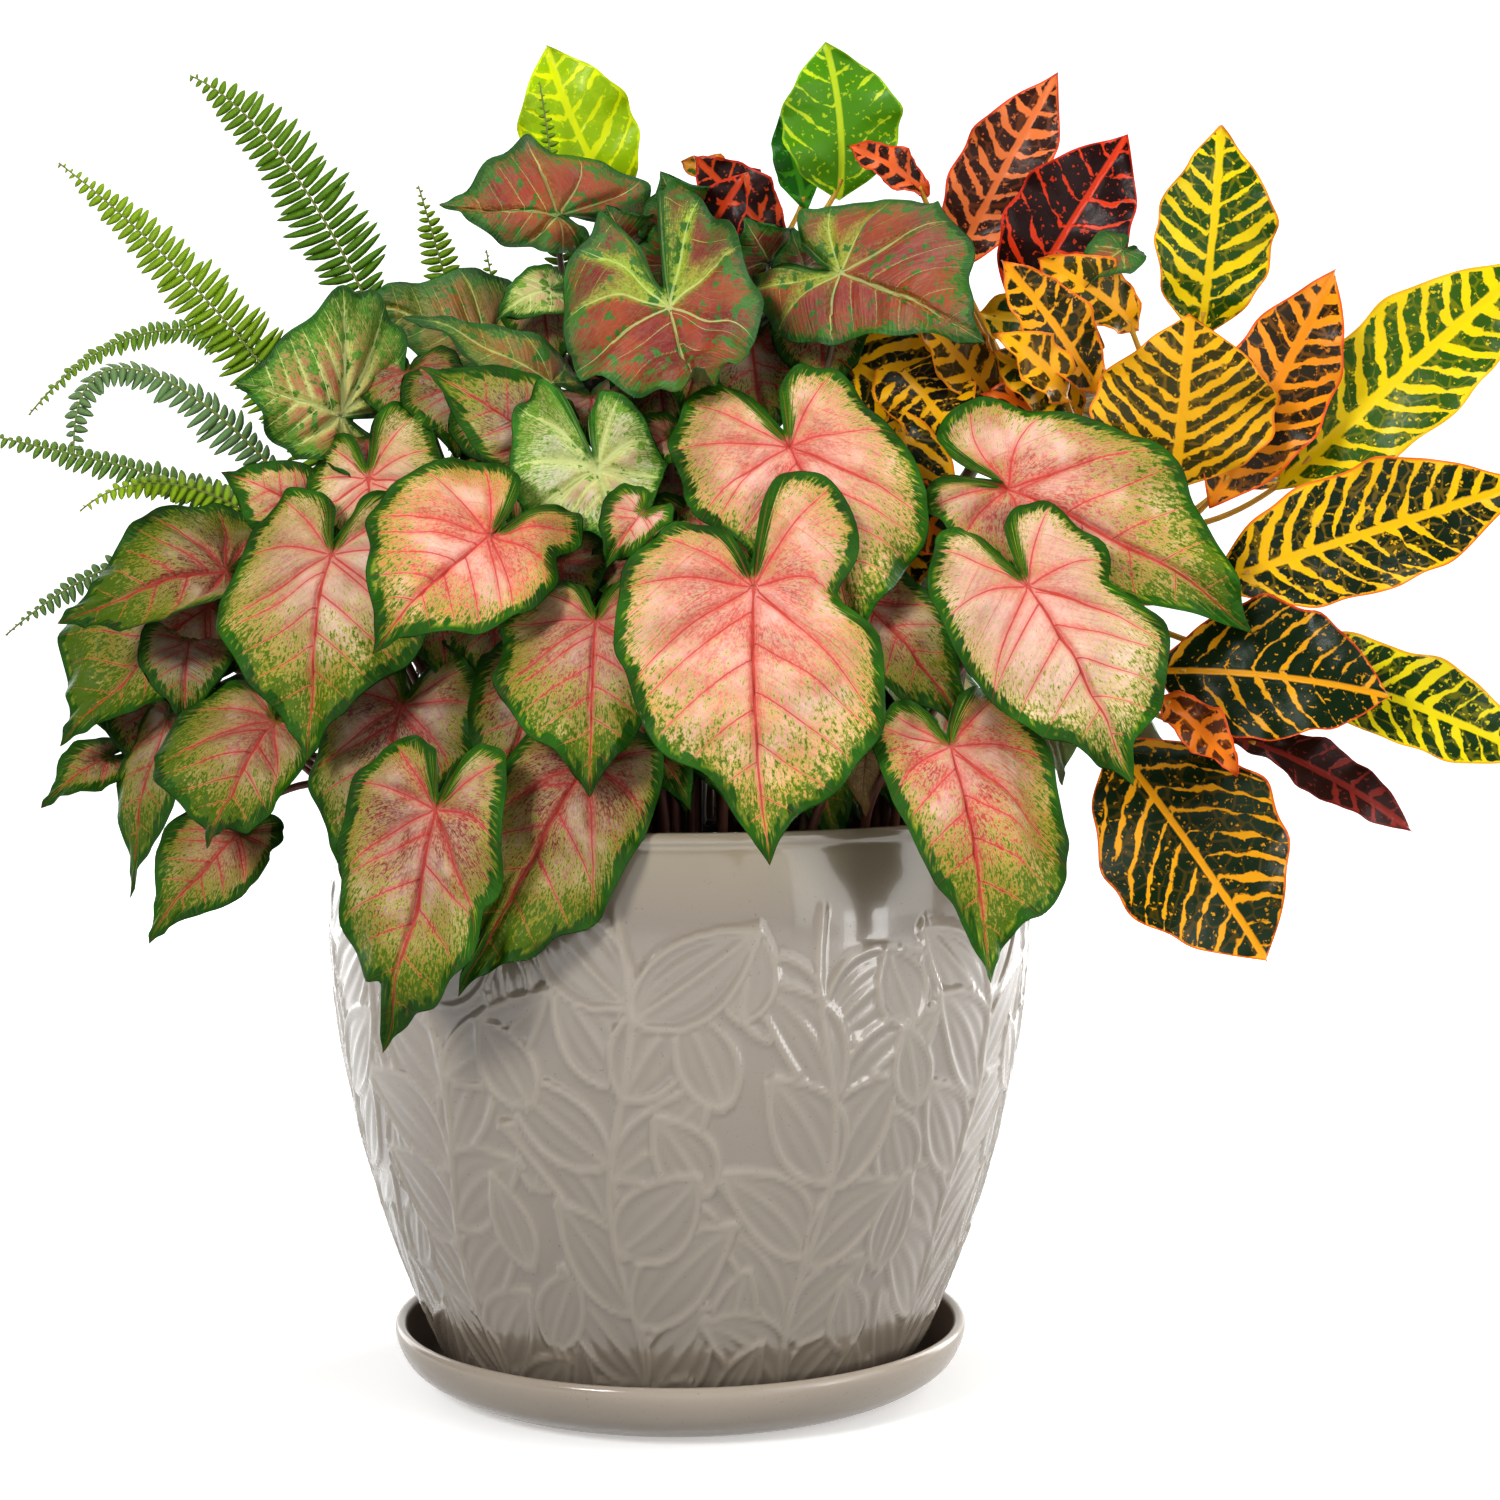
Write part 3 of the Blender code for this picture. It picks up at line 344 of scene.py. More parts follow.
def leaf_relief(around, height):
    """The pressed pattern, 0 to 1: wavy upright stems, and on each side of them pointed leaves.
    A leaf is a low cushion with ridges where the distance from its middle line is a share of its
    half width: its rim, two bent veins and the midrib.  A later leaf lies over an earlier one."""
    girth = 2 * np.pi * POT_BELLY_RADIUS
    draw = np.random.default_rng(RELIEF_SEED)
    field = np.full(np.broadcast_shapes(around.shape, height.shape), RELIEF_GROUND)
    phases = draw.uniform(0, 2 * np.pi, RELIEF_STEMS)

    def beside(stem, high):
        """The way round from a stem's wavy line, which swings by a sine of the height."""
        root = stem * girth / RELIEF_STEMS + STEM_SWING * np.sin(high / STEM_PITCH + phases[int(stem)])
        return (around - root + girth / 2) % girth - girth / 2

    leaves = []
    for stem in range(RELIEF_STEMS):
        for side in (-1, 1):
            for low in np.arange(draw.uniform(-26, -4), RELIEF_TOP - 26, LEAF_PITCH):
                leaves.append((stem, side, low, draw.uniform(30, 58), draw.uniform(52, 70),
                               draw.uniform(13, 17), draw.uniform(-0.004, 0.01)))
        for low in np.arange(draw.uniform(-10, 10), RELIEF_TOP - 30, LONE_PITCH):
            leaves.append((stem + 0.5, draw.choice([-1, 1]), low, draw.uniform(5, 35),
                           draw.uniform(38, 50), draw.uniform(10, 13), 0.0))
    order = draw.permutation(len(leaves))
    for stem, side, low, lean, long, half, curve in (leaves[i] for i in order):
        dx = side * beside(stem, low)
        dz = height - low
        lean = np.radians(lean)
        along = dx * np.sin(lean) + dz * np.cos(lean)
        across = dx * np.cos(lean) - dz * np.sin(lean) + curve * along * (long - along)
        t = np.clip(along / long, 1e-3, 1 - 1e-3)
        wide = half * np.sin(np.pi * t ** 0.8) ** 0.9
        inside = (along > 0) & (along < long) & (np.abs(across) - wide < 1.3 * RIDGE_HALF)
        q = np.minimum(np.abs(across) / wide, 2)
        shape = RELIEF_GROUND - 0.1 + 0.15 * np.clip(1 - q ** 2, 0, 1)
        for share, tall in RIDGES:
            slim = np.clip(wide / 5, 0.3, 1) if share < 1 else 1
            shape = shape + slim * tall * np.exp(-((q - share) * wide / RIDGE_HALF) ** 2)
        field = np.where(inside, shape, field)
    for stem in range(RELIEF_STEMS):
        field = np.maximum(field, 0.9 * np.exp(-(beside(stem, height) / (1.35 * RIDGE_HALF)) ** 2))
    fade = np.clip((RELIEF_TOP - height) / 7, 0, 1) * np.clip((height - RELIEF_FOOT) / 10, 0, 1)
    return RELIEF_GROUND + (np.minimum(field, 1) - RELIEF_GROUND) * fade


# The profile from the bead down the outer wall, under the foot, up through the drain hole and the
# inner wall, and back over the rim
wall = np.arange(RELIEF_TOP, 14, -POT_ROW)
profile = [(152.6, 259.9), (153.1, 258.6), (153.2, 257), (152.9, 255.8), (152.1, 255)]
profile += [(pot_radius(h), h) for h in (253.2, 251, 246, 240)]
first = len(profile)
profile += [(pot_radius(h), h) for h in wall]
profile += [(pot_radius(11.5), 11.5), (pot_radius(10) - 1, 9.6), (pot_radius(8) - 3, POT_FLOOR)]
profile += [(70, POT_FLOOR), (DRAIN_RADIUS + 1, POT_FLOOR), (DRAIN_RADIUS, POT_FLOOR + 1)]
profile += [(DRAIN_RADIUS, POT_FLOOR + POT_WALL)]
profile += [(pot_radius(h) - POT_WALL, h) for h in np.linspace(POT_FLOOR + POT_WALL, 250, 8)]
profile += [(144.6, 256), (144.9, 258.6), (146, 260), (148, 260.5), (150.6, 260.5)]
profile = np.array(profile)
angle = np.linspace(0, 2 * np.pi, POT_STEPS, endpoint=False)
pattern = np.full((len(profile), POT_STEPS), RELIEF_GROUND)
pattern[first:first + wall.size] = leaf_relief(angle[None] * POT_BELLY_RADIUS, wall[:, None])
lift = (pattern - RELIEF_GROUND) * RELIEF_HEIGHT
pot = turned(profile[:, 0], profile[:, 1], POT_STEPS, lift)

material, node, shader = new_material("glazed_stoneware_relief")
# Reactive taupe glaze over pressed relief: dark grey-brown pooled in hollows, cream on the ridges
spot = node("TexCoord").outputs["Object"]
press = node("Attribute", attribute_name="pressed").outputs["Fac"]
cloud = node("TexNoise", spot, Scale=11.0, Detail=5.0)
tone = node("ValToRGB", node("Math", cloud, 0.5, press, operation="MULTIPLY_ADD"))
tone.color_ramp.elements.new(1.0)
for mark, at, code in zip(tone.color_ramp.elements, (0.3, 0.7, 1.0), ("#91867A", "#988D7F", "#A29788")):
    mark.position = at
    mark.color = linear(code)
speck = node("TexNoise", spot, Scale=700.0, Detail=3.0)
tone = node("MixRGB", node("MapRange", speck, 0.66, 0.74, 0.0, 0.45), tone, "#655B4E")
high = node("SeparateXYZ", spot).outputs["Z"]
# Painted shade: the glaze darkens towards the bottom, where the saucer shades the pot
tone = node("MixRGB", node("MapRange", high, 0.01, 0.09, 0.35, 0.0), tone, "#857B6D")
# Painted light: the band under the rim is lighter and warmer, as if lit from the front and above
tone = node("MixRGB", node("MapRange", high, 0.225, 0.25, 0.0, 0.6), tone, "#B0A48C")
ripple = node("Bump", Height=cloud, Strength=0.4, Distance=0.003)
fine = node("Bump", Height=speck, Normal=ripple, Strength=0.15, Distance=0.0003)
gloss = node("MapRange", cloud, 0, 1, 0.14, 0.3)
feed(shader, {"Base Color": tone, "Roughness": gloss, "Normal": fine, "Specular IOR Level": 0.55,
              "Coat Weight": 0.6, "Coat Roughness": 0.07})
body = Patch(pot[::-1], {"pressed": pattern[::-1, :, None]})
build_piece("pot_body", [body], [material], "glaze", "pot", tube=True)


# The soil: dark peat potting mix with bark and fibre crumbs, tipped in loose and pressed down
# round the stalks a finger's breadth under the rim.
SOIL_TOP = 243
SOIL_CROWN = 247
SOIL_LEVEL_SHARE = 0.75
SOIL_GAP = 0.3
SOIL_STEPS = 300
# Crumbs of three sizes: how wide and how high each is
CRUMBS = ((34, 0.8), (13, 0.9), (6.5, 0.7))
CRUMB_SEED = 3


def soil_height(x, y):
    """The soil's top: level in the middle and falling evenly to the wall."""
    edge = pot_radius(SOIL_TOP) - POT_WALL
    level = SOIL_LEVEL_SHARE * edge
    beyond = np.maximum(np.hypot(x, y) - level, 0)
    return SOIL_CROWN - (SOIL_CROWN - SOIL_TOP) * beyond / (edge - level)


def crumbled(x, y):
    """Loose crumbs: a sum of four crossed waves of each size in random directions."""
    draw = np.random.default_rng(CRUMB_SEED)
    total = np.zeros(np.shape(x))
    for size, tall in CRUMBS:
        for _ in range(4):
            way = draw.uniform(0, 2 * np.pi)
            wave = np.sin((x * np.cos(way) + y * np.sin(way)) * 2 * np.pi / size + draw.uniform(0, 6))
            total = total + tall * wave / 2
    return total


side_wall = pot_radius(SOIL_TOP) - POT_WALL - SOIL_GAP
reach = np.concatenate([np.linspace(0, side_wall - 1, 70), [side_wall]])
angle = np.linspace(0, 2 * np.pi, SOIL_STEPS, endpoint=False)
x = reach[:, None] * np.cos(angle)
y = reach[:, None] * np.sin(angle)
calm = np.clip((side_wall - reach) / 6, 0.15, 1)[:, None] * np.clip(reach / 4, 0, 1)[:, None]
top = np.stack([x, y, soil_height(x, y) + crumbled(x, y) * calm], -1) * MM
depths = np.linspace(SOIL_TOP - 4, POT_FLOOR + POT_WALL + SOIL_GAP, 8)
low = turned(pot_radius(depths) - POT_WALL - SOIL_GAP, depths, SOIL_STEPS)
base = turned([0.0], depths[-1:], SOIL_STEPS)
material, node, shader = new_material("peat_potting_mix")
# Damp peat: near black, matt, with brown bark and a few pale fibres between the crumbs
spot = node("TexCoord").outputs["Object"]
crumb = node("TexNoise", spot, Scale=260.0, Detail=6.0)
bark = node("TexVoronoi", spot, Scale=190.0).outputs["Color"]
tone = node("MixRGB", crumb, "#0C0806", "#2E2018")
tone = node("MixRGB", node("MapRange", bark, 0.72, 0.8, 0.0, 0.6), tone, "#4A3420")
lumps = node("Bump", Height=crumb, Strength=0.9, Distance=0.003)
feed(shader, {"Base Color": tone, "Roughness": 0.95, "Normal": lumps, "Specular IOR Level": 0.2})
build_piece("potting_mix", [Patch(np.concatenate([top, low, base])[::-1])], [material], "soil", "soil")


# The pink caladiums: heart-shaped leaves, paper thin and a little quilted between sunken coral
# veins, with a ragged green edge.  Each hangs from its own round stalk that stands in the soil.

# A leaf's junction with its stalk and its tip; the bearing and rise that its face looks to; its
# half widths and lobes' lengths, left and right; its stalk's foot; its colour round the junction and
# further out, how much it is flecked, and how far cream-green feathers from the veins of the body
# and the lobes; the midrib's rise, the sides' roll, the edge's wave, the midrib's swing, the twist,
# the belly's shift; how far back the stalk comes in and how high over the junction; how much painted
# shade darkens its colour, most for leaves in the clump's shade; and its pinches: the side (1 is
# right), how far round it, how deep and how wide
Leaf = namedtuple("Leaf", "name junction tip face half lobes foot tone arch roll wave bow twist belly "
                  "back lift age pinches", defaults=(5, (8, 8), 2, 0, 0, (0, 0), 25, 0, 1.0, ()))
# The leaves behind the pot share one tone
REAR_TONE = ("#E88E80", "#F0B8A2", 0.45)
PINK_LEAVES = [
    Leaf("pink_centre", (33, -152, 359), (39, -180, 250), (4, 14), (56, 54), (31, 53), (20, -100),
         ("#DC544E", "#F2A484", 0.53), arch=9, roll=(-14, -14), wave=2.5, bow=-3, belly=(0.05, 0.22),
         pinches=[(1, 0.56, 0.34, 0.035), (0, 0.42, 0.07, 0.05), (0, 0.2, 0.05, 0.06)]),
    Leaf("pink_upper", (48, -105, 416), (76, -128, 334), (8, 20), (49, 50), (40, 38), (34, -66),
         ("#DA544E", "#F0AC90", 0.54), arch=8, roll=(-12, -22), wave=2.5, belly=(-0.1, 0.2),
         pinches=[(1, 0.62, 0.06, 0.06), (0, 0.5, 0.05, 0.05)]),
    Leaf("pink_right_front", (144, -132, 359), (184, -152, 279), (12, 14), (40, 45), (37, 35), (92, -78),
         ("#E87E70", "#F6CEB8", 0.5), arch=7, roll=(-16, -14), belly=(0.1, 0.2),
         pinches=[(1, 0.52, 0.26, 0.04), (0, 0.5, 0.05, 0.05), (1, 0.12, 0.05, 0.05)]),
    Leaf("pink_right_behind", (139, -92, 399), (245, -85, 340), (10, 25), (32, 48), (30, 36), (86, -48),
         ("#D8544A", "#C8866A", 0.68), arch=8, roll=(-20, -10), twist=25, belly=(0, 0.1)),
    Leaf("pink_low_right", (112, -147, 295), (127, -165, 202), (22, 6), (34, 47), (22, 24), (78, -104),
         ("#CE3830", "#CC6E54", 0.7), arch=6, roll=(-14, -18), belly=(-0.12, 0.25), lift=10,
         pinches=[(0, 0.18, 0.07, 0.06), (1, 0.22, 0.05, 0.05)]),
    Leaf("pale_left", (-143, -95, 372), (-151, -115, 287), (-14, 14), (46, 48), (31, 30), (-86, -62),
         ("#E8AE98", "#BC8862", 0.72), arch=8, roll=(-12, -14), wave=3, belly=(0.12, 0.1), age=0.92,
         pinches=[(1, 0.66, 0.2, 0.03), (0, 0.3, 0.06, 0.06)]),
    Leaf("salmon_left", (-74, -128, 380), (-119, -150, 333), (-5, 15), (45, 36), (32, 36), (-50, -82),
         ("#E04634", "#EE8468", 0.52), arch=7, roll=(-14, -20), belly=(0.1, 0),
         pinches=[(1, 0.6, 0.22, 0.04), (0, 0.32, 0.05, 0.05)]),
    Leaf("dusty_left", (-31, -133, 345), (-32, -163, 276), (-3, 12), (41, 38), (22, 24), (-30, -88),
         ("#BC5242", "#A86C54", 0.68), arch=6, roll=(-14, -8), belly=(0.12, 0.1), age=0.9,
         pinches=[(0, 0.5, 0.06, 0.05), (1, 0.28, 0.08, 0.05)]),
    # Painted shade: this leaf and shaded_middle are given dark tones because they sit in the clump's shade
    Leaf("shaded_left", (-114, -98, 309), (-132, -112, 224), (-25, 5), (36, 38), (24, 26), (-96, -70),
         ("#8E2A22", "#6E3E2A", 0.7), roll=(-10, -10), belly=(0.1, 0), lift=8, age=0.7),
    Leaf("hanging_left", (-93, -164, 271), (-115, -165, 174), (-18, 8), (41, 32), (26, 30), (-66, -104),
         ("#A83E34", "#8E5440", 0.72), arch=6, roll=(-14, -10), wave=3, bow=3, belly=(0.05, 0.2), lift=16,
         age=0.88, pinches=[(0, 0.14, 0.16, 0.05), (1, 0.44, 0.16, 0.04), (0, 0.62, 0.06, 0.04)]),
    Leaf("hanging_middle", (-34, -146, 288), (-84, -162, 196), (-14, 6), (30, 36), (20, 22), (-30, -112),
         ("#A43826", "#8A5232", 0.78), arch=5, roll=(-8, -14), belly=(0.1, 0.22), lift=12, age=0.78,
         pinches=[(0, 0.16, 0.1, 0.05), (1, 0.3, 0.06, 0.05)]),
    Leaf("shaded_middle", (-55, -118, 324), (-74, -141, 253), (-8, 8), (24, 26), (16, 18), (-48, -100),
         ("#8E2A22", "#7A3C28", 0.7), age=0.72),
    Leaf("pink_rim", (-14, -110, 302), (8, -136, 268), (10, 30), (19, 19), (13, 13), (-4, -88),
         ("#E07A6C", "#C48A64", 0.64), back=14),
    Leaf("far_left_upper", (-193, -60, 365), (-262, -72, 341), (-25, 20), (42, 30), (25, 22), (-104, -44),
         ("#8E4026", "#5E4A1C", 0.88), arch=7, roll=(-16, 60), belly=(0, 0.15), age=0.72),
    Leaf("far_left_lower", (-204, -38, 350), (-268, -45, 288), (-30, 12), (52, 33), (28, 25), (-112, -20),
         ("#AC5E48", "#7E5E34", 0.84), arch=7, roll=(-16, -10), belly=(0.25, 0), age=0.8),
    Leaf("far_left_small", (-251, -30, 283), (-280, -35, 261), (-35, 15), (14, 16), (10, 10), (-124, 4),
         ("#9A5A34", "#6A5C28", 0.84), back=12, lift=10, age=0.8),
    Leaf("edge_left", (-222, -44, 302), (-238, -46, 222), (-38, 5), (22, 21), (11, 11), (-124, -26),
         ("#96602E", "#6A6028", 0.86), roll=(-20, -20), back=12, lift=14, age=0.74),
    Leaf("round_left", (-169, -80, 302), (-196, -92, 248), (-20, 10), (44, 22), (12, 12), (-112, -58),
         ("#C07462", "#A87A58", 0.72), arch=7, roll=(-16, -14), belly=(0.35, 0.3), lift=8, age=0.86,
         pinches=[(0, 0.3, 0.05, 0.05)]),
    Leaf("low_left", (-190, -56, 252), (-227, -62, 204), (-25, 8), (26, 24), (16, 16), (-126, -40),
         ("#C0684E", "#9A7444", 0.78), back=14, lift=30, age=0.85),
    Leaf("small_heart", (-2, -74, 421), (-21, -80, 407), (-5, 20), (14, 14), (12, 12), (-4, -66),
         ("#D87A6C", "#CC8C70", 0.58), back=10),
    Leaf("small_upper", (8, -68, 447), (3, -86, 427), (0, 25), (14, 12), (10, 10), (6, -48),
         ("#BC7058", "#9A7848", 0.68), back=10),
    Leaf("small_curly", (-12, -122, 389), (-27, -129, 366), (-8, 15), (16, 14), (12, 10), (0, -84),
         ("#DC6E60", "#CE8A70", 0.54), roll=(40, 35), wave=3, back=10),
    Leaf("pale_fan", (-131, -66, 404), (-124, -72, 364), (-10, 15), (28, 34), (24, 34), (-80, -46),
         ("#F0A894", "#E8BC9C", 0.46), back=16),
    Leaf("salmon_far", (-158, -58, 390), (-196, -54, 408), (-15, 25), (18, 22), (14, 16), (-96, -34),
         ("#E8806C", "#D89878", 0.52), back=14),
    Leaf("back_right_low", (196, 30, 300), (226, 44, 208), (105, 15), (46, 46), (32, 32), (116, 34),
         REAR_TONE, arch=7, lift=10, back=20),
    Leaf("back_right", (150, 96, 340), (186, 130, 258), (135, 20), (50, 50), (34, 34), (92, 66), REAR_TONE,
         arch=8, back=26),
    Leaf("back_middle_low", (62, 176, 300), (74, 214, 214), (162, 15), (48, 46), (32, 32), (42, 120),
         REAR_TONE, arch=7, lift=10, back=20),
    Leaf("back_left_low", (-84, 164, 300), (-104, 200, 212), (205, 15), (46, 48), (32, 32), (-62, 112),
         REAR_TONE, arch=7, lift=10, back=20),
    Leaf("back_left", (-160, 84, 344), (-206, 110, 264), (238, 20), (48, 50), (34, 32), (-106, 58),
         REAR_TONE, arch=8, back=26),
]
# One side of a blade from its tip round to the sinus: how far along, as a share of the length or
# of the lobe, how far out as a share of the half width, and how much of the belly's shift it takes
SIDE = np.array([
    (1.00, 0.00, 0.0), (0.90, 0.12, 0.0), (0.74, 0.34, 0.3), (0.52, 0.70, 0.8), (0.28, 0.95, 1.0),
    (0.05, 1.00, 1.0), (-0.45, 0.90, 0.4), (-0.84, 0.68, 0.0), (-1.00, 0.40, 0.0),
    (-0.80, 0.15, 0.0), (-0.22, 0.00, 0.0),
])
EDGE_WAVES = (2.5, 3.0)
BLADE = 0.8
FULL_HALF = 34
# Where round a side the main veins run, and how many lines apart that is
VEIN_TURNS = [0, 0.43, 0.60, 0.74, 0.90, 1.0]
VEIN_LINES = [0, 1.0, 2.0, 3.0, 4.0, 4.6]
MIDRIB_HALF = 0.95
VEIN_HALF = 0.46
RIB_HALF = 0.36
QUILT_LEVEL = 0.3
# Slow swells of a blade: their pitches and how high they are for their pitch
SWELLS = (58, 41, 30, 22)
SWELL_SHARE = 0.036
PETIOLE_FOOT = 2.3
PETIOLE_NECK = 1.2
PETIOLE_RISE = 0.45
STALK_END = 3
HOLE_DEPTH = 9
FOOT_GAP = 0.3


def unit(vectors):
    """Vectors divided by their lengths."""
    return vectors / np.maximum(np.linalg.norm(vectors, axis=-1, keepdims=True), 1e-9)


def aim(bearing, rise):
    """The unit direction at a bearing from the front, positive to the right, and a rise."""
    b = np.radians(bearing)
    e = np.radians(rise)
    return np.array([np.sin(b) * np.cos(e), -np.cos(b) * np.cos(e), np.sin(e)])


def frame_of(start, end, face):
    """Unit vectors along the midrib, to the right side and out of the upper face, and the length:
    the facing direction made square to the midrib, and their cross product."""
    along = np.subtract(end, start)
    length = np.linalg.norm(along)
    along = along / length
    out = aim(*face)
    out = unit(out - along * out.dot(along))
    return along, np.cross(out, along), out, length


def roll_up(half, q, roll):
    """Across and up for a share q of a half width that rolls up on a circle by an angle."""
    roll = np.radians(roll) + 1e-6
    return half * np.sin(roll * q) / roll, half * (1 - np.cos(roll * q)) / roll


def spun(across, up, lean):
    """Across and up turned about the midrib by an angle."""
    return across * np.cos(lean) - up * np.sin(lean), up * np.cos(lean) + across * np.sin(lean)


def normals(place, out):
    """Unit normals of a grid: the cross product of its steps down the rows and round the ring,
    turned to the side that out looks to."""
    normal = unit(np.cross(np.gradient(place, axis=0), np.roll(place, -1, 1) - np.roll(place, 1, 1)))
    return np.where((normal @ out)[..., None] < 0, -normal, normal)


def bend(leaf, u, v, right, ring, turn):
    """Where flat places of a blade lie: the midrib rises by a parabola over its chord, each side
    rolls up on a circle, and the edge swings by sine waves that grow with a power of the ring."""
    along, side, out, length = frame_of(leaf.junction, leaf.tip, leaf.face)
    share = u / length
    front = np.maximum(share, 0)
    rise = 4 * leaf.arch * share * (1 - front)
    swing = 4 * leaf.bow * front * (1 - front)
    half = leaf.half[right]
    flat, height = roll_up(half, v / half, leaf.roll[right])
    calm = np.clip(8 * turn, 0, 1) * np.clip(8 * (1 - turn), 0, 1)
    phase = len(leaf.name) + 2 * right
    size = min(1, half / 40)
    waves = ((leaf.wave, 3, EDGE_WAVES[right], 1), (1.8 * size, 6, 8, 3), (0.5 * size, 9, 15, 5))
    for tall, power, count, shift in waves:
        height = height + calm * tall * ring ** power * np.sin(2 * np.pi * count * turn + shift * phase)
    across, height = spun(flat if right else -flat, height, np.radians(leaf.twist) * front)
    place = np.array(leaf.junction, float) + along * u[..., None] + side * (across + swing)[..., None]
    return place + out * (height + rise)[..., None]


def line_gap(u, v, lines):
    """Millimetres between neighbouring lines of a field on a grid: one over its slope's length,
    with the slope from the grid's own differences."""
    (u_ring, u_turn), (v_ring, v_turn), (f_ring, f_turn) = (np.gradient(f) for f in (u, v, lines))
    area = u_turn * v_ring - u_ring * v_turn
    area = np.where(np.abs(area) < 1e-4, 1e-4, area)
    slope_u = (f_turn * v_ring - f_ring * v_turn) / area
    slope_v = (u_turn * f_ring - u_ring * f_turn) / area
    return 1 / np.maximum(np.hypot(slope_u, slope_v), 1e-4)


def edge_gap(u, v, edge_u, edge_v):
    """The distance from each flat place to the outline: the least over the outline's pieces."""
    corners = np.stack([edge_u, edge_v], -1)
    place = np.stack([u, v], -1)
    best = np.full(u.shape, 1e9)
    for start, way in zip(corners, np.roll(corners, -1, 0) - corners):
        t = np.clip(((place - start) @ way) / max(way @ way, 1e-9), 0, 1)
        best = np.minimum(best, np.linalg.norm(place - start - t[..., None] * way, axis=-1))
    return best


def cushion(leaf):
    """How high a blade's quilting stands: in step with its half width up to a full one's, and with
    its wave."""
    return min(1, max(leaf.half) / FULL_HALF) * (1.2 + 0.4 * leaf.wave)


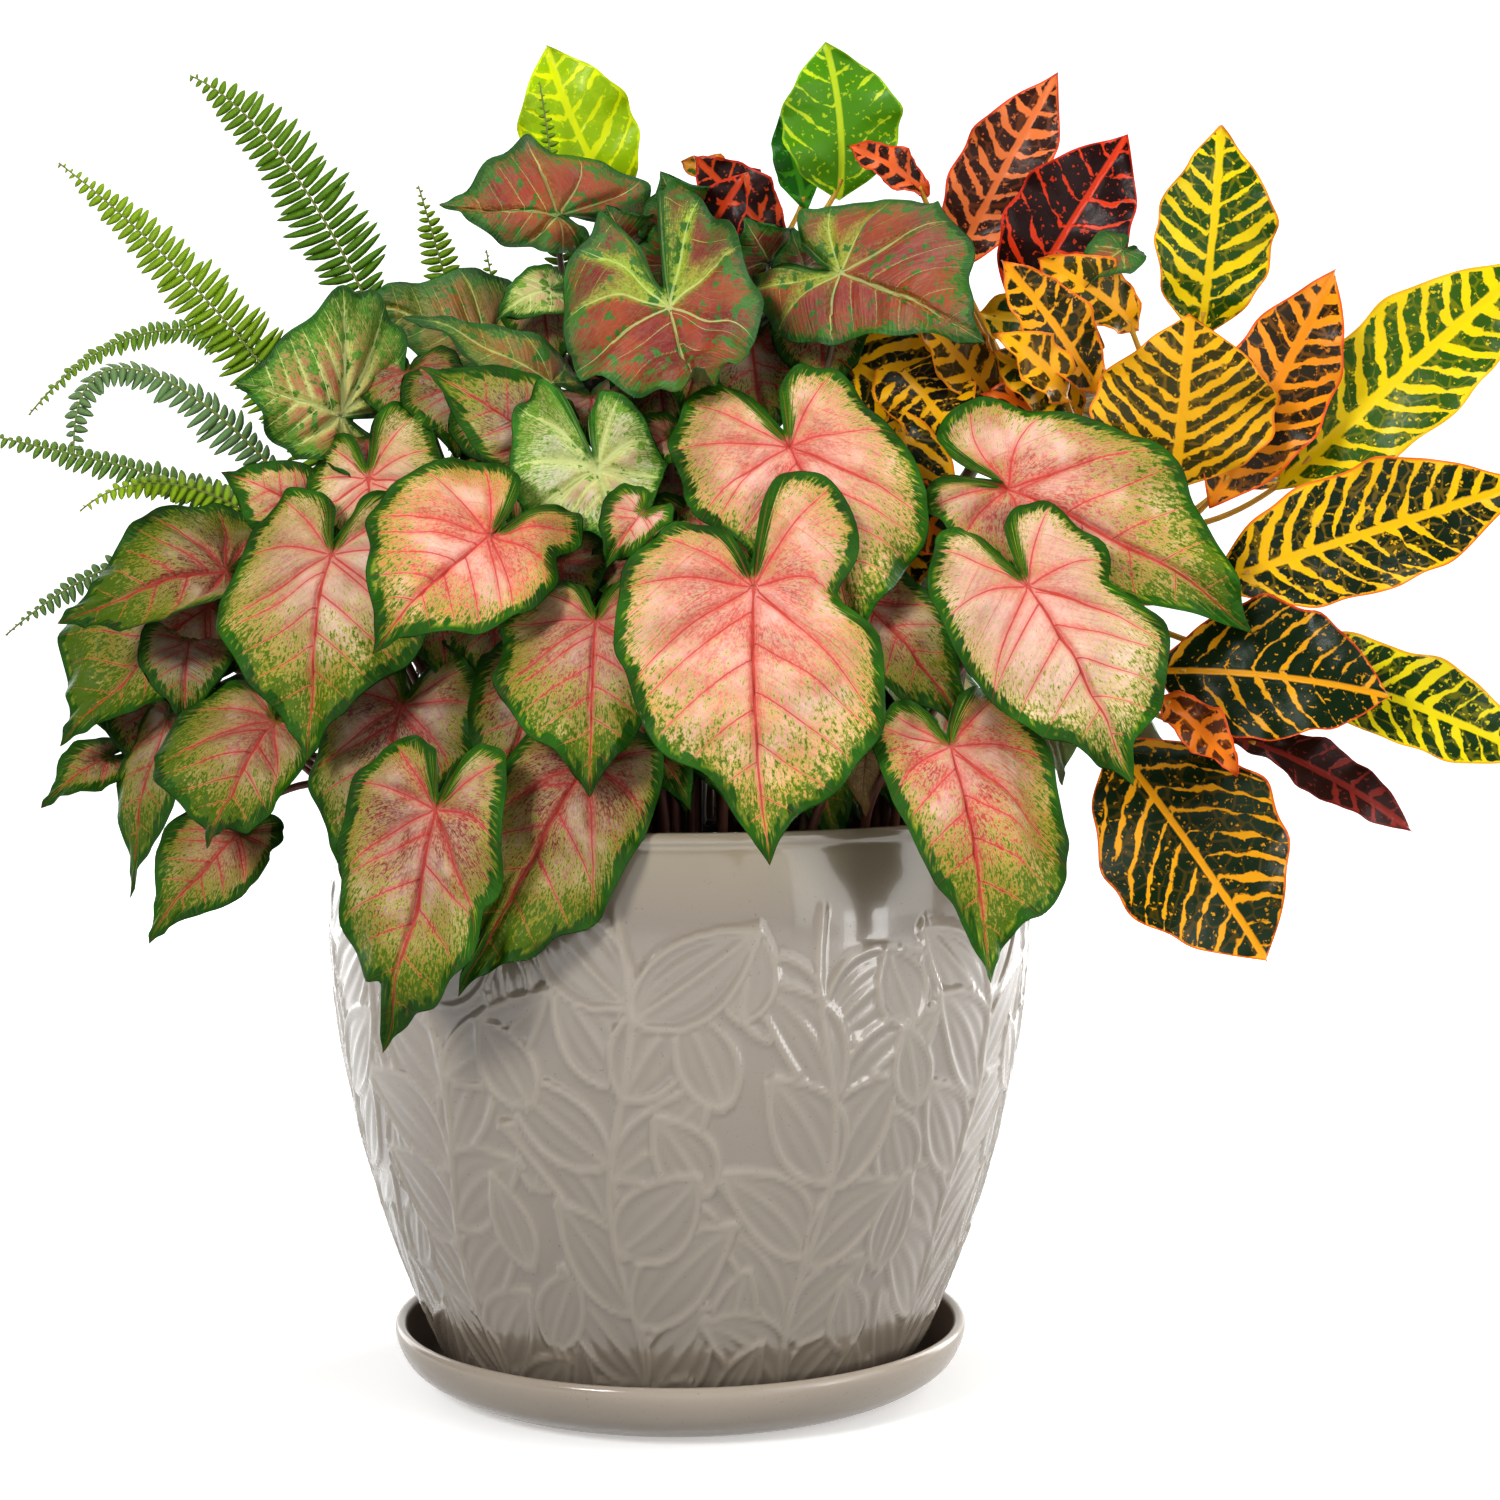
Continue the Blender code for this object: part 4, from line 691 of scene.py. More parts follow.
def blade_patch(leaf, step=2.0):
    """A blade as one closed skin: rings round the junction on the upper face, out to the edge and
    back under it, about a step of millimetres apart.  It is quilted by one less a bell over each
    vein, and swells by four slow sine waves.  Its fields hold the vein lines, the gap to the edge,
    the colour and the painted shade."""
    length = np.linalg.norm(np.subtract(leaf.tip, leaf.junction))
    girth = 2 * length + sum(leaf.half) + 2 * sum(leaf.lobes)
    count = int(np.clip(girth / 2 / step, 22, 80))
    rings = int(np.clip((length + max(leaf.half)) / 2 / step * 0.85, 9, 30))
    ring = 1 - (1 - np.linspace(0, 1, rings)) ** 1.35
    knots = np.arange(len(SIDE))
    halves = []
    for right in (1, 0):
        turn = np.linspace(0, 1, count + 1)
        u_share, v_share, belly = (through(knots, column, turn * knots[-1]) for column in SIDE.T)
        edge_u = u_share * np.where(u_share > 0, length, leaf.lobes[right])
        edge_u = edge_u + belly * leaf.belly[right] * length
        edge_v = np.maximum(v_share, 0) * leaf.half[right]
        calm = np.clip(5 * turn - 0.4, 0, 1) * np.clip(9 * (1 - turn), 0, 1)
        phase = 1.7 * len(leaf.name) + 2.3 * right + 0.11 * leaf.tip[2]
        scale = 1 + calm * 0.008 * leaf.wave * np.sin(13 * turn * np.pi + phase)
        for side, where, depth, wide in leaf.pinches:
            scale = scale - (side == right) * depth * np.exp(-((turn - where) / wide) ** 2)
        edge_u = edge_u * scale
        edge_v = edge_v * scale
        u = ring[:, None] * edge_u
        v = ring[:, None] * edge_v
        around = np.broadcast_to(turn, u.shape)
        out = np.broadcast_to(ring[:, None], u.shape)
        fan = through(VEIN_TURNS, VEIN_LINES, around + 0.05 * out ** 2 * np.sin(np.pi * around))
        rib = (u - 0.62 * v - 0.004 * v ** 2) / max(length / 5.5, 8) + 0.5 + 0.35 * right
        halves.append((u, v, edge_u, edge_v, bend(leaf, u, v, right, out, around), fan,
                       line_gap(u, v, fan), rib, line_gap(u, v, rib), out, around))
    joined = [np.concatenate([a, b[..., -2:0:-1] if a.ndim < 3 else b[:, -2:0:-1]], axis=int(a.ndim > 1))
              for a, b in zip(*halves)]
    u, v, edge_u, edge_v, place, fan, fan_gap, rib, rib_gap, out, around = joined
    sides = np.where(np.arange(edge_v.size) <= count, 1.0, -1.0)
    margin = edge_gap(u, v * sides, edge_u, edge_v * sides)
    radial = np.hypot(u, v)
    taper = np.clip(1.3 - 1.1 * out, 0.3, 1.15)
    size = min(1, max(leaf.half) / FULL_HALF)
    fan_near = np.abs(fan - np.round(fan)) * fan_gap
    rib_near = np.where(fan < 1, np.abs(rib - np.round(rib)) * rib_gap, 99)
    groove = np.exp(-(fan_near / 2.2) ** 2) + 0.6 * np.exp(-(rib_near / 2.0) ** 2)
    quilt = np.clip(1 - groove, -1, 1) * np.sin(np.pi * np.clip(out, 0, 1)) ** 0.6
    main = frame_of(leaf.junction, leaf.tip, leaf.face)[2]
    normal = normals(place, main)
    normal[0] = main
    draw = np.random.default_rng(len(leaf.name) * 31 + abs(int(leaf.junction[0])))
    swell = np.zeros(u.shape)
    for way, pitch, start in zip(draw.uniform(0, np.pi, 4), SWELLS, draw.uniform(0, 6, 4)):
        across = u * np.cos(way) + v * sides * np.sin(way)
        swell = swell + SWELL_SHARE * pitch * np.sin(2 * np.pi * across / pitch + start)
    relief = cushion(leaf) * (quilt - QUILT_LEVEL) * (1 - out ** 6)
    swell = size * swell * np.sin(np.pi * np.minimum(out, 0.5))
    place = place + normal * relief[..., None] + main * swell[..., None]
    thick = BLADE * (1 - out ** 8) * 0.8 + 0.02
    skin = np.concatenate([place, (place - normal * thick[..., None])[-2::-1]]) * MM
    heart, body, fleck, *halo = leaf.tone
    mix = np.clip(radial / (0.6 * max(length, 1)), 0, 1)[..., None] ** 0.8
    flesh = np.array(linear(heart)) * (1 - mix) + np.array(linear(body)) * mix
    low, high = halo[0] if halo else (1.0, 1.0)
    flesh[..., 3] = low + (high - low) * np.clip((around - 0.45) / 0.2, 0, 1)
    amount = fleck * (0.12 + 0.85 * np.clip(radial / (0.85 * length), 0, 1) ** 1.1)
    amount = np.minimum(np.hypot(amount, 0.56 * np.exp(-margin / (12 * size))), 0.42 + 0.45 * fleck)
    fan_lines = fan_gap / (size * np.where(fan < 0.5, MIDRIB_HALF, VEIN_HALF) * taper)
    rib_lines = np.where(fan < 1, rib_gap / (RIB_HALF * size * taper), 400)
    seed = np.full(u.shape, len(leaf.name) * 7.3 + leaf.junction[0] * 0.37)
    fields = {"fan": np.stack([fan, fan_lines, radial], -1), "rib": np.stack([rib, rib_lines, amount], -1),
              "flesh": flesh, "edge": np.stack([margin, seed, 0 * seed], -1)}
    fields = {name: np.concatenate([field, field[-2::-1]]) for name, field in fields.items()}
    fields["edge"][rings:, :, 2] = 1
    return Patch(skin, fields | {"age": (leaf.age,)})


def bezier(a, b, c, d, steps):
    """Points along the cubic curve from a to d that is drawn towards b and c."""
    t = np.linspace(0, 1, steps + 1)[:, None]
    s = 1 - t
    return s ** 3 * a + 3 * s * s * t * b + 3 * s * t * t * c + t ** 3 * d


def stalk_patch(path, radii, sides, slot=1):
    """A round stalk: circles of the given radii, square to a path, with a pole at each end.  The
    circles' first direction is the one that the path's own directions lean on least."""
    way = unit(np.gradient(path, axis=0))
    first = unit(np.cross(way, np.linalg.svd(way)[2][-1]))
    second = np.cross(way, first)
    angle = np.linspace(0, 2 * np.pi, sides, endpoint=False)[:, None]
    rim = first[:, None] * np.cos(angle) + second[:, None] * np.sin(angle)
    place = path[:, None] + rim * np.asarray(radii)[:, None, None]
    ends = [np.broadcast_to(path[i], (1, sides, 3)) for i in (0, -1)]
    return Patch(np.concatenate([ends[0], place, ends[1]]) * MM, {}, slot)


def root_of(foot):
    """A growth's foot in the soil: the top's height there, less its hole's depth, plus a small gap."""
    x, y = foot
    return np.array([x, y, float(soil_height(x, y)) - HOLE_DEPTH + FOOT_GAP])


def petiole(leaf):
    """The leaf's stalk: straight up out of the soil, then on a cubic curve into the junction."""
    out = frame_of(leaf.junction, leaf.tip, leaf.face)[2]
    foot = root_of(leaf.foot)
    end = np.array(leaf.junction, float) - out * (QUILT_LEVEL * cushion(leaf) + 0.4 * BLADE)
    rise = np.array([0, 0, max(PETIOLE_RISE * np.linalg.norm(end - foot), 50)])
    neck = end - out * STALK_END
    near = neck - out * leaf.back + np.array([0, 0, leaf.lift])
    path = np.vstack([foot, bezier(foot + (0, 0, HOLE_DEPTH), foot + rise, near, neck, 20), end])
    return stalk_patch(path, np.linspace(PETIOLE_FOOT, PETIOLE_NECK, len(path)), 10)


def grow(leaf, skins, slot, step=2.0):
    """A leaf as a piece of its own: its blade, then its stalk."""
    build_piece("leaf_" + leaf.name, [blade_patch(leaf, step), petiole(leaf)], skins, slot,
                "caladium_" + leaf.name)


def caladium_skin(name, vein, flecks, edges, under, pale, halo, cloud="", blotch=("", 0), soft=1.0,
                  glow=14.0, glow_most=0.9, feather=14.0, pale_most=0.4, band=2.4, ragged=6.0, net=0.1,
                  vein_most=0.9, side=1.0, shine=0.25):
    """A caladium blade's material, read from the blade's own fields: flesh, flecks that run out
    from the junction, a ragged edge band, veins and a net of fine veins, and a dull underside.
    Colours come first.  Soft, glow and feather are how soft a vein's edge is and how wide and frayed
    its halo, band and ragged the same for the edge in millimetres; net, side and the most are how
    much the net, the side veins' gap and each layer count."""
    made, node, shader = new_material(name)
    (fan, fan_gap, radial), (rib, rib_gap, amount), (margin, seed, back) = (
        node("SeparateXYZ", node("Attribute", attribute_name=field).outputs["Vector"]).outputs
        for field in ("fan", "rib", "edge"))
    flesh = node("Attribute", attribute_name="flesh").outputs
    spot = node("TexCoord").outputs["Object"]
    # Streaks 1 mm across and several long, as true cells are finer than the picture can show;
    # dashes square to the edge like a comb's teeth; the net's cells; and fine lines 2 mm apart
    # that run with the side veins
    streak, comb, cell, weave = (
        node("CombineXYZ", node("Math", first, dense, operation="MULTIPLY"),
             node("Math", second, loose, operation="MULTIPLY"), seed)
        for first, dense, second, loose in ((fan, 50.0, radial, 0.3), (fan, 24.0, margin, 0.14),
                                            (fan, 4.5, radial, 0.21), (rib, 9.0, radial, 0.07)))
    streak = node("TexNoise", streak, Scale=1.0, Detail=3.0, Roughness=0.72)
    comb = node("TexNoise", comb, Scale=1.0, Detail=2.0, Roughness=0.6)
    cell = node("TexVoronoi", cell, Scale=1.0, feature="DISTANCE_TO_EDGE")
    weave = node("MapRange", node("TexNoise", weave, Scale=1.0, Detail=2.0), 0.3, 0.7, 0.82, 1.12)
    grit = node("TexNoise", spot, Scale=780.0, Detail=2.0)
    patchy = node("TexNoise", spot, Scale=45.0, Detail=3.0)
    wobble = node("TexNoise", spot, Scale=320.0, Detail=2.0)
    # How far the nearest vein is, in its half widths, a little uneven
    near, side_near = (
        node("Math", node("Math", lines, 0.5, operation="PINGPONG"), gap, operation="MULTIPLY")
        for lines, gap in ((fan, fan_gap), (rib, rib_gap)))
    gap = node("Math", near, node("Math", side_near, side, operation="MULTIPLY"), operation="MINIMUM")
    gap = node("Math", wobble, 0.9, gap, operation="MULTIPLY_ADD")
    veins = node("MapRange", gap, 1.0, 1.0 + soft, 1.0, 0.0, interpolation_type="SMOOTHSTEP")
    # How far the vein's colour frays out, and how much green there is, which keeps off the veins
    mixed = node("Math", grit, 0.55, streak, operation="MULTIPLY_ADD")
    frayed = node("Math", mixed, -0.775, operation="ADD")
    frayed = node("Math", frayed, feather, gap, operation="MULTIPLY_ADD")
    less = node("Math", flesh["Alpha"], -glow, glow, operation="MULTIPLY_ADD")
    frayed = node("Math", frayed, less, operation="ADD")
    level = node("Math", streak, 1.4, amount, operation="MULTIPLY_ADD")
    level = node("Math", grit, 0.55, level, operation="MULTIPLY_ADD")
    level = node("Math", level, node("MapRange", gap, 1.5, 5.0, -0.22, 0.0), operation="ADD")
    # Painted shade: the flesh is darkened in slow patches and in fine bands along the side veins, standing in
    # for the light and shade of its quilting
    shade = node("Math", node("MapRange", patchy, 0.3, 0.7, 0.74, 1.12), weave, operation="MULTIPLY")
    tone = node("MixRGB", 1.0, flesh["Color"], shade, blend_type="MULTIPLY")
    layers = [(node("MapRange", mixed, 0.65, 0.95, 0.0, pale_most), pale),
              (node("MapRange", patchy, 0.48, 0.66, 0.0, pale_most), pale)]
    if cloud:
        layers.append((node("MapRange", patchy, 0.46, 0.62, 0.0, 0.7), cloud))
    layers.append((node("MapRange", frayed, 1.0, glow, glow_most, 0.0), halo))
    if cloud:
        where = node("TexNoise", spot, Scale=150.0, Detail=4.0, Roughness=0.6)
        where = node("Math", where, node("MapRange", margin, 0, 12.0, 0.1, 0.0), operation="ADD")
        layers.append((node("MapRange", where, blotch[1], blotch[1] + 0.04), blotch[0]))
    layers += [(node("MapRange", cell, 0.01, 0.09, net, 0.0), vein),
               (node("MapRange", level, 1.2, 1.46, 0.0, 0.78), flecks[1]),
               (node("MapRange", level, 1.38, 1.6, 0.0, 0.94), flecks[0])]
    # The band's two greens, the lighter in dashes that stay off the very edge
    dash = node("MapRange", comb, 0.5, 0.64)
    dash = node("Math", dash, node("MapRange", margin, 1.6, 3.2), operation="MULTIPLY")
    uneven = node("MapRange", patchy, 0.35, 0.65, 0.5, 1.15)
    rim = node("MixRGB", 1.0, node("MixRGB", dash, *edges), uneven, blend_type="MULTIPLY")
    torn = node("Math", comb, ragged, margin, operation="MULTIPLY_ADD")
    limit = band + ragged / 2
    layers.append((node("MapRange", torn, limit - 0.5, limit + 0.5, 1.0, 0.0), rim))
    faint = node("MapRange", margin, 1.0, 7.0, 0.15, vein_most)
    layers.append((node("Math", veins, faint, operation="MULTIPLY"), vein))
    for share, colour in layers:
        tone = node("MixRGB", share, tone, colour)
    # Painted shade: the whole colour is multiplied down by the leaf's painted shade, most for leaves in the
    # clump's shade
    age = node("Attribute", attribute_name="age").outputs["Fac"]
    tone = node("MixRGB", 1.0, tone, age, blend_type="MULTIPLY")
    tone = node("MixRGB", node("Math", back, 0.78, operation="MULTIPLY"), tone, under)
    relief = node("Math", veins, -0.8, streak, operation="MULTIPLY_ADD")
    relief = node("Math", weave, 3.0, relief, operation="MULTIPLY_ADD")
    bump = node("Bump", Height=relief, Strength=0.55, Distance=0.0007)
    gloss = node("MapRange", grit, 0, 1, 0.36, 0.56)
    feed(shader, {"Base Color": tone, "Roughness": gloss, "Normal": bump, "Specular IOR Level": shine})
    return made


def stalk_skin(name, low_code, high_code):
    """A fleshy stalk: fine lengthwise grain between two tones, faintly glossy."""
    made, node, shader = new_material(name)
    long = node("Mapping", node("TexCoord").outputs["Object"], Scale=(1.0, 1.0, 0.12))
    grain = node("TexNoise", long, Scale=420.0, Detail=3.0)
    bump = node("Bump", Height=grain, Strength=0.4, Distance=0.0004)
    feed(shader, {"Base Color": node("MixRGB", grain, low_code, high_code), "Normal": bump,
                  "Roughness": node("MapRange", grain, 0, 1, 0.35, 0.6)})
    return made


# Living leaf: a satin skin, flesh pink where the green is missing, coral veins sunk in it
# Its pinkish-white cream between the veins is partly the flesh's own and partly a painted sheen
PINK_SKIN = caladium_skin(
    "pink_caladium_blade", vein="#CE4E40", flecks=("#4C7006", "#C4BA3E"), edges=("#2C620A", "#A4B030"),
    under="#6E7C4E", pale="#F6DCD0", halo="#DC5244", soft=0.5, glow=10.0, glow_most=0.5, feather=3.0,
    pale_most=0.58, band=4.6, ragged=8.0, vein_most=0.85, shine=0.18)
# Painted shade: the stalks are darkened to a dark brown, as they show only in the shade between the leaves
PINK_STALK = stalk_skin("pink_caladium_stalk", "#5E3428", "#8E5A48")
for leaf in PINK_LEAVES:
    grow(leaf, [PINK_SKIN, PINK_STALK], "pink_leaf")


def small_leaves(name, rows, face, share, tone, step, **more):
    """Blades and stalks of small leaves from their junctions, tips and half widths: each foot is a
    share of its junction's way from the middle and 10 nearer the front."""
    patches = []
    for junction, tip, half in rows:
        foot = (share * junction[0], share * junction[1] - 10)
        leaf = Leaf(name, junction, tip, face, (half, half), (16, 16), foot, tone, back=10, **more)
        patches += [blade_patch(leaf, step), petiole(leaf)]
    return patches


# Leaves that fill the shaded middle of the clump, on stalks of their own: the junction, tip and half
# width of those that show between the wine leaves and the pink ones, and young ones at random places
SHADE_LEAVES = [
    ((32, -10, 467), (38, -30, 417), 34), ((-8, -40, 450), (-3, -60, 414), 22),
    ((-95, -20, 444), (-89, -40, 409), 25), ((-37, -50, 440), (-32, -70, 412), 20),
    ((-60, -5, 483), (-55, -25, 449), 20), ((62, -15, 473), (65, -35, 435), 22),
    ((-14, -90, 370), (-10, -110, 337), 22), ((-72, -50, 415), (-66, -70, 378), 22),
    ((-100, -75, 353), (-94, -95, 315), 24), ((-77, -80, 349), (-72, -100, 311), 24),
    ((-48, -85, 370), (-43, -105, 337), 22), ((10, -70, 403), (13, -90, 370), 22),
    ((-232, -20, 308), (-229, -35, 265), 22), ((-246, -10, 316), (-244, -25, 281), 20),
    ((-211, -50, 335), (-210, -65, 297), 22), ((-178, -60, 310), (-176, -75, 272), 22),
    ((-117, -30, 452), (-115, -45, 419), 24), ((-96, -40, 444), (-94, -55, 412), 24),
    ((-76, -50, 430), (-73, -65, 399), 22), ((-134, -45, 421), (-130, -60, 395), 20),
]
# Painted shade: these leaves' dark tones, the inner leaves' dark hearts and bodies below, and the 0.7
# darkening of the shade leaves
SHADE_TONE = ("#8A3A30", "#6A4A2E", 0.55)
INNER_LEAVES = 70
INNER_SEED = 21
INNER_HEARTS = ["#6E2A20", "#8E3A2C", "#5A5A24", "#A85A44"]
draw = np.random.default_rng(INNER_SEED)
patches = small_leaves("shade", SHADE_LEAVES, (0, 12), 0.6, SHADE_TONE, 4.0, age=0.7)
for number in range(INNER_LEAVES):
    bearing = draw.uniform(-180, 180)
    stand = draw.uniform(30, 132)
    way = aim(bearing, 0)
    junction = way * stand + (0, 0, draw.uniform(296, 310 + 130 * (1 - (stand / 140) ** 2)))
    long = draw.uniform(40, 62)
    tip = junction + way * draw.uniform(5, 22) + (draw.uniform(-16, 16), 0, -long)
    half = draw.uniform(20, 29)
    leaf = Leaf(f"inner_{number}", junction, tip, (bearing, draw.uniform(5, 30)),
                (half, half * draw.uniform(0.85, 1.1)), (15, 16), (way * stand * 0.78)[:2],
                (draw.choice(INNER_HEARTS), "#5A5A2A", draw.uniform(0.5, 0.9)))
    patches += [blade_patch(leaf, 5.0), petiole(leaf)]
build_piece("leaves_inner", patches, [PINK_SKIN, PINK_STALK], "pink_leaf")


# The wine caladiums: the same hearts, dull rose-brown with orange clouds, green blotches and edge,
# and thin cream-green veins that feather into the flesh.
WINE_LEAVES = [
    Leaf("pink_between", (78, -112, 353), (124, -128, 295), (20, 10), (28, 25), (22, 20), (54, -84),
         ("#C85A4A", "#A0663E", 0.68), roll=(30, 10), age=0.82),
    Leaf("grey_green", (-58, -72, 420), (-107, -82, 451), (-10, 30), (24, 24), (16, 16), (-42, -56),
         ("#B8685A", "#86785A", 0.64), back=16, age=0.85),
    Leaf("mottled_left", (-86, 2, 468), (-148, -2, 484), (-15, 30), (30, 28), (18, 18), (-56, -22),
         ("#B05A40", "#86903E", 0.55, (0.3, 0.5)), wave=4, back=16),
    Leaf("mottled_narrow", (-54, -46, 446), (-117, -58, 474), (-12, 40), (16, 18), (14, 14), (-38, -36),
         ("#A8583E", "#8A9A40", 0.52, (0.4, 0.6)), back=14),
    Leaf("mottled_upright", (-145, -43, 432), (-190, -51, 446), (-12, 15), (57, 24), (22, 20), (-72, -30),
         ("#C84838", "#BC7A5A", 0.5), roll=(-10, -10), wave=5, belly=(0, 0.1), back=16),
    Leaf("wine_top", (-3, -50, 478), (13, -118, 445), (-5, 60), (50, 38), (40, 58), (-2, -20),
         ("#9C3622", "#842420", 0.2, (0.1, 1.0)), arch=-12, roll=(-14, 20), wave=5, back=18,
         pinches=[(1, 0.62, 0.1, 0.05), (0, 0.5, 0.1, 0.05), (1, 0.34, 0.08, 0.05)]),
    Leaf("wine_left", (-53, -14, 521), (-105, -22, 524), (-5, 12), (35, 18), (44, 14), (-34, 4),
         ("#B44028", "#A44436", 0.18, (0.2, 0.1)), roll=(-12, -12), wave=5, back=18,
         pinches=[(0, 0.5, 0.1, 0.05), (1, 0.4, 0.08, 0.05)]),
    Leaf("wine_right", (70, -48, 493), (130, -80, 461), (5, 8), (34, 46), (46, 36), (34, -22),
         ("#A43C32", "#A04E44", 0.18, (0.25, 0.85)), arch=7, roll=(-14, -16), wave=5, belly=(-0.1, 0.15),
         back=20, pinches=[(1, 0.5, 0.06, 0.06), (0, 0.36, 0.1, 0.05), (0, 0.72, 0.08, 0.05)]),
    Leaf("twisted_small", (194, -26, 505), (167, -34, 481), (0, 20), (12, 12), (8, 8), (116, -30),
         ("#6A5A2E", "#4A6428", 0.5, (0.4, 0.4)), twist=60, back=12),
    Leaf("back_middle", (14, 120, 400), (16, 176, 318), (180, 25), (54, 52), (36, 38), (12, 84),
         ("#94403A", "#8A3E3A", 0.25, (0.4, 0.8)), arch=8, back=26),
]
# Waxy leaf: wine flesh with a soft bluish sheen, the green breaking it into blotches
WINE_SKIN = caladium_skin(
    "wine_caladium_blade", vein="#C4CC84", flecks=("#2E5A16", "#5A7A28"), edges=("#2A6414", "#56902A"),
    under="#5E6C48", pale="#8A3438", halo="#AAC444", cloud="#A84C1C", blotch=("#347420", 0.572), soft=0.8,
    glow=24.0, glow_most=1.0, feather=40.0, net=0.05, vein_most=0.85, side=2.6, shine=0.45)
WINE_STALK = stalk_skin("wine_caladium_stalk", "#4E3A2C", "#6E5A3E")
# A paler leaf of the same plant: salmon and lime in small patches, with a softer shine
MOTTLED_SKIN = caladium_skin(
    "mottled_caladium_blade", vein="#D4DC9A", flecks=("#3E7416", "#8AAE3C"), edges=("#2E6A18", "#6EA434"),
    under="#7E8E5C", pale="#D89A84", halo="#D0DA84", cloud="#B8564A", blotch=("#3A7A1C", 0.565), glow=11.0,
    side=1.6, shine=0.3)
OTHER_SKINS = {"pink_between": PINK_SKIN, "grey_green": PINK_SKIN, "mottled_upright": MOTTLED_SKIN}
for leaf in WINE_LEAVES:
    grow(leaf, [OTHER_SKINS.get(leaf.name, WINE_SKIN), WINE_STALK], "wine_leaf")

# Younger wine leaves behind the three large ones: junction, tip and half width
WINE_INNER = [
    ((2, 0, 520), (-8, -10, 541), 21), ((-23, -2, 510), (-32, -12, 526), 18),
    ((40, -4, 502), (28, -14, 521), 18), ((-5, 6, 501), (-10, -4, 522), 17),
    ((56, 0, 499), (49, -10, 517), 17), ((16, 0, 485), (19, -10, 501), 14),
]
WINE_INNER_TONE = ("#963A28", "#7A3028", 0.25, (0.2, 0.8))
patches = small_leaves("wine_inner", WINE_INNER, (-5, 15), 0.5, WINE_INNER_TONE, 3.0, wave=4)
build_piece("leaves_wine_inner", patches, [WINE_SKIN, WINE_STALK], "wine_leaf")


# The cream leaves: two young hearts of the same plant, cream-white and lime with rose flecks, thin
# and soft, each on a stalk of its own that stands in the soil.
CREAM_LEAVES = [
    Leaf("cream_centre", (-32, -91, 407), (-22, -110, 376), (-5, 18), (36, 28), (44, 30), (-20, -72),
         ("#E6E2B4", "#E8E0C4", 0.45), arch=-3, roll=(10, 8), wave=3, back=16),
    Leaf("peach_small", (-56, -24, 488), (-80, -30, 474), (-8, 25), (14, 16), (12, 12), (-28, -10),
         ("#E8B48A", "#C9BE7A", 0.5), back=12),
]
# Young leaf: nearly white flesh with lime veins and sparse green and rose clouds
CREAM_SKIN = caladium_skin(
    "cream_caladium_blade", vein="#D4DC9A", flecks=("#5E8A2A", "#9ABA44"), edges=("#3A7A1C", "#7FB03C"),
    under="#A4B47A", pale="#F0ECD0", halo="#D4DC8C", cloud="#B8564A", blotch=("#5A8A2A", 0.6), side=2.0)
for leaf in CREAM_LEAVES:
    grow(leaf, [CREAM_SKIN, PINK_STALK], "cream_leaf")


# The withered leaf: a small one that has dried on its stalk and curled to a beige tube, papery and
# brittle, still held up over the rim.
WITHERED = Leaf("withered", (79, -128, 294), (78, -137, 266), (-20, 0), (11, 11), (8, 8), (56, -112),
    ("#B99A6E", "#C9AC80", 0.4), arch=3, roll=(70, 75), lift=6)
# Dry leaf: matt straw brown, papery, its veins standing out darker
WITHERED_SKIN = caladium_skin(
    "withered_caladium_blade", vein="#8A6A44", flecks=("#A48A5E", "#8E744C"), edges=("#A08050", "#C4A878"),
    under="#A88A5C", pale="#D9C096", halo="#8A6A44", soft=0.8, glow=5.0, glow_most=0.4, feather=3.0,
    pale_most=0.5, band=1.5, ragged=3.0, net=0.5, vein_most=0.8, shine=0.1)
grow(WITHERED, [WITHERED_SKIN, PINK_STALK], "withered_leaf", 1.2)


# The croton: three brown woody stems whose leathery, glossy leaves are dark green or wine between
# broad yellow, orange and red veins, each on a short yellow stalk.

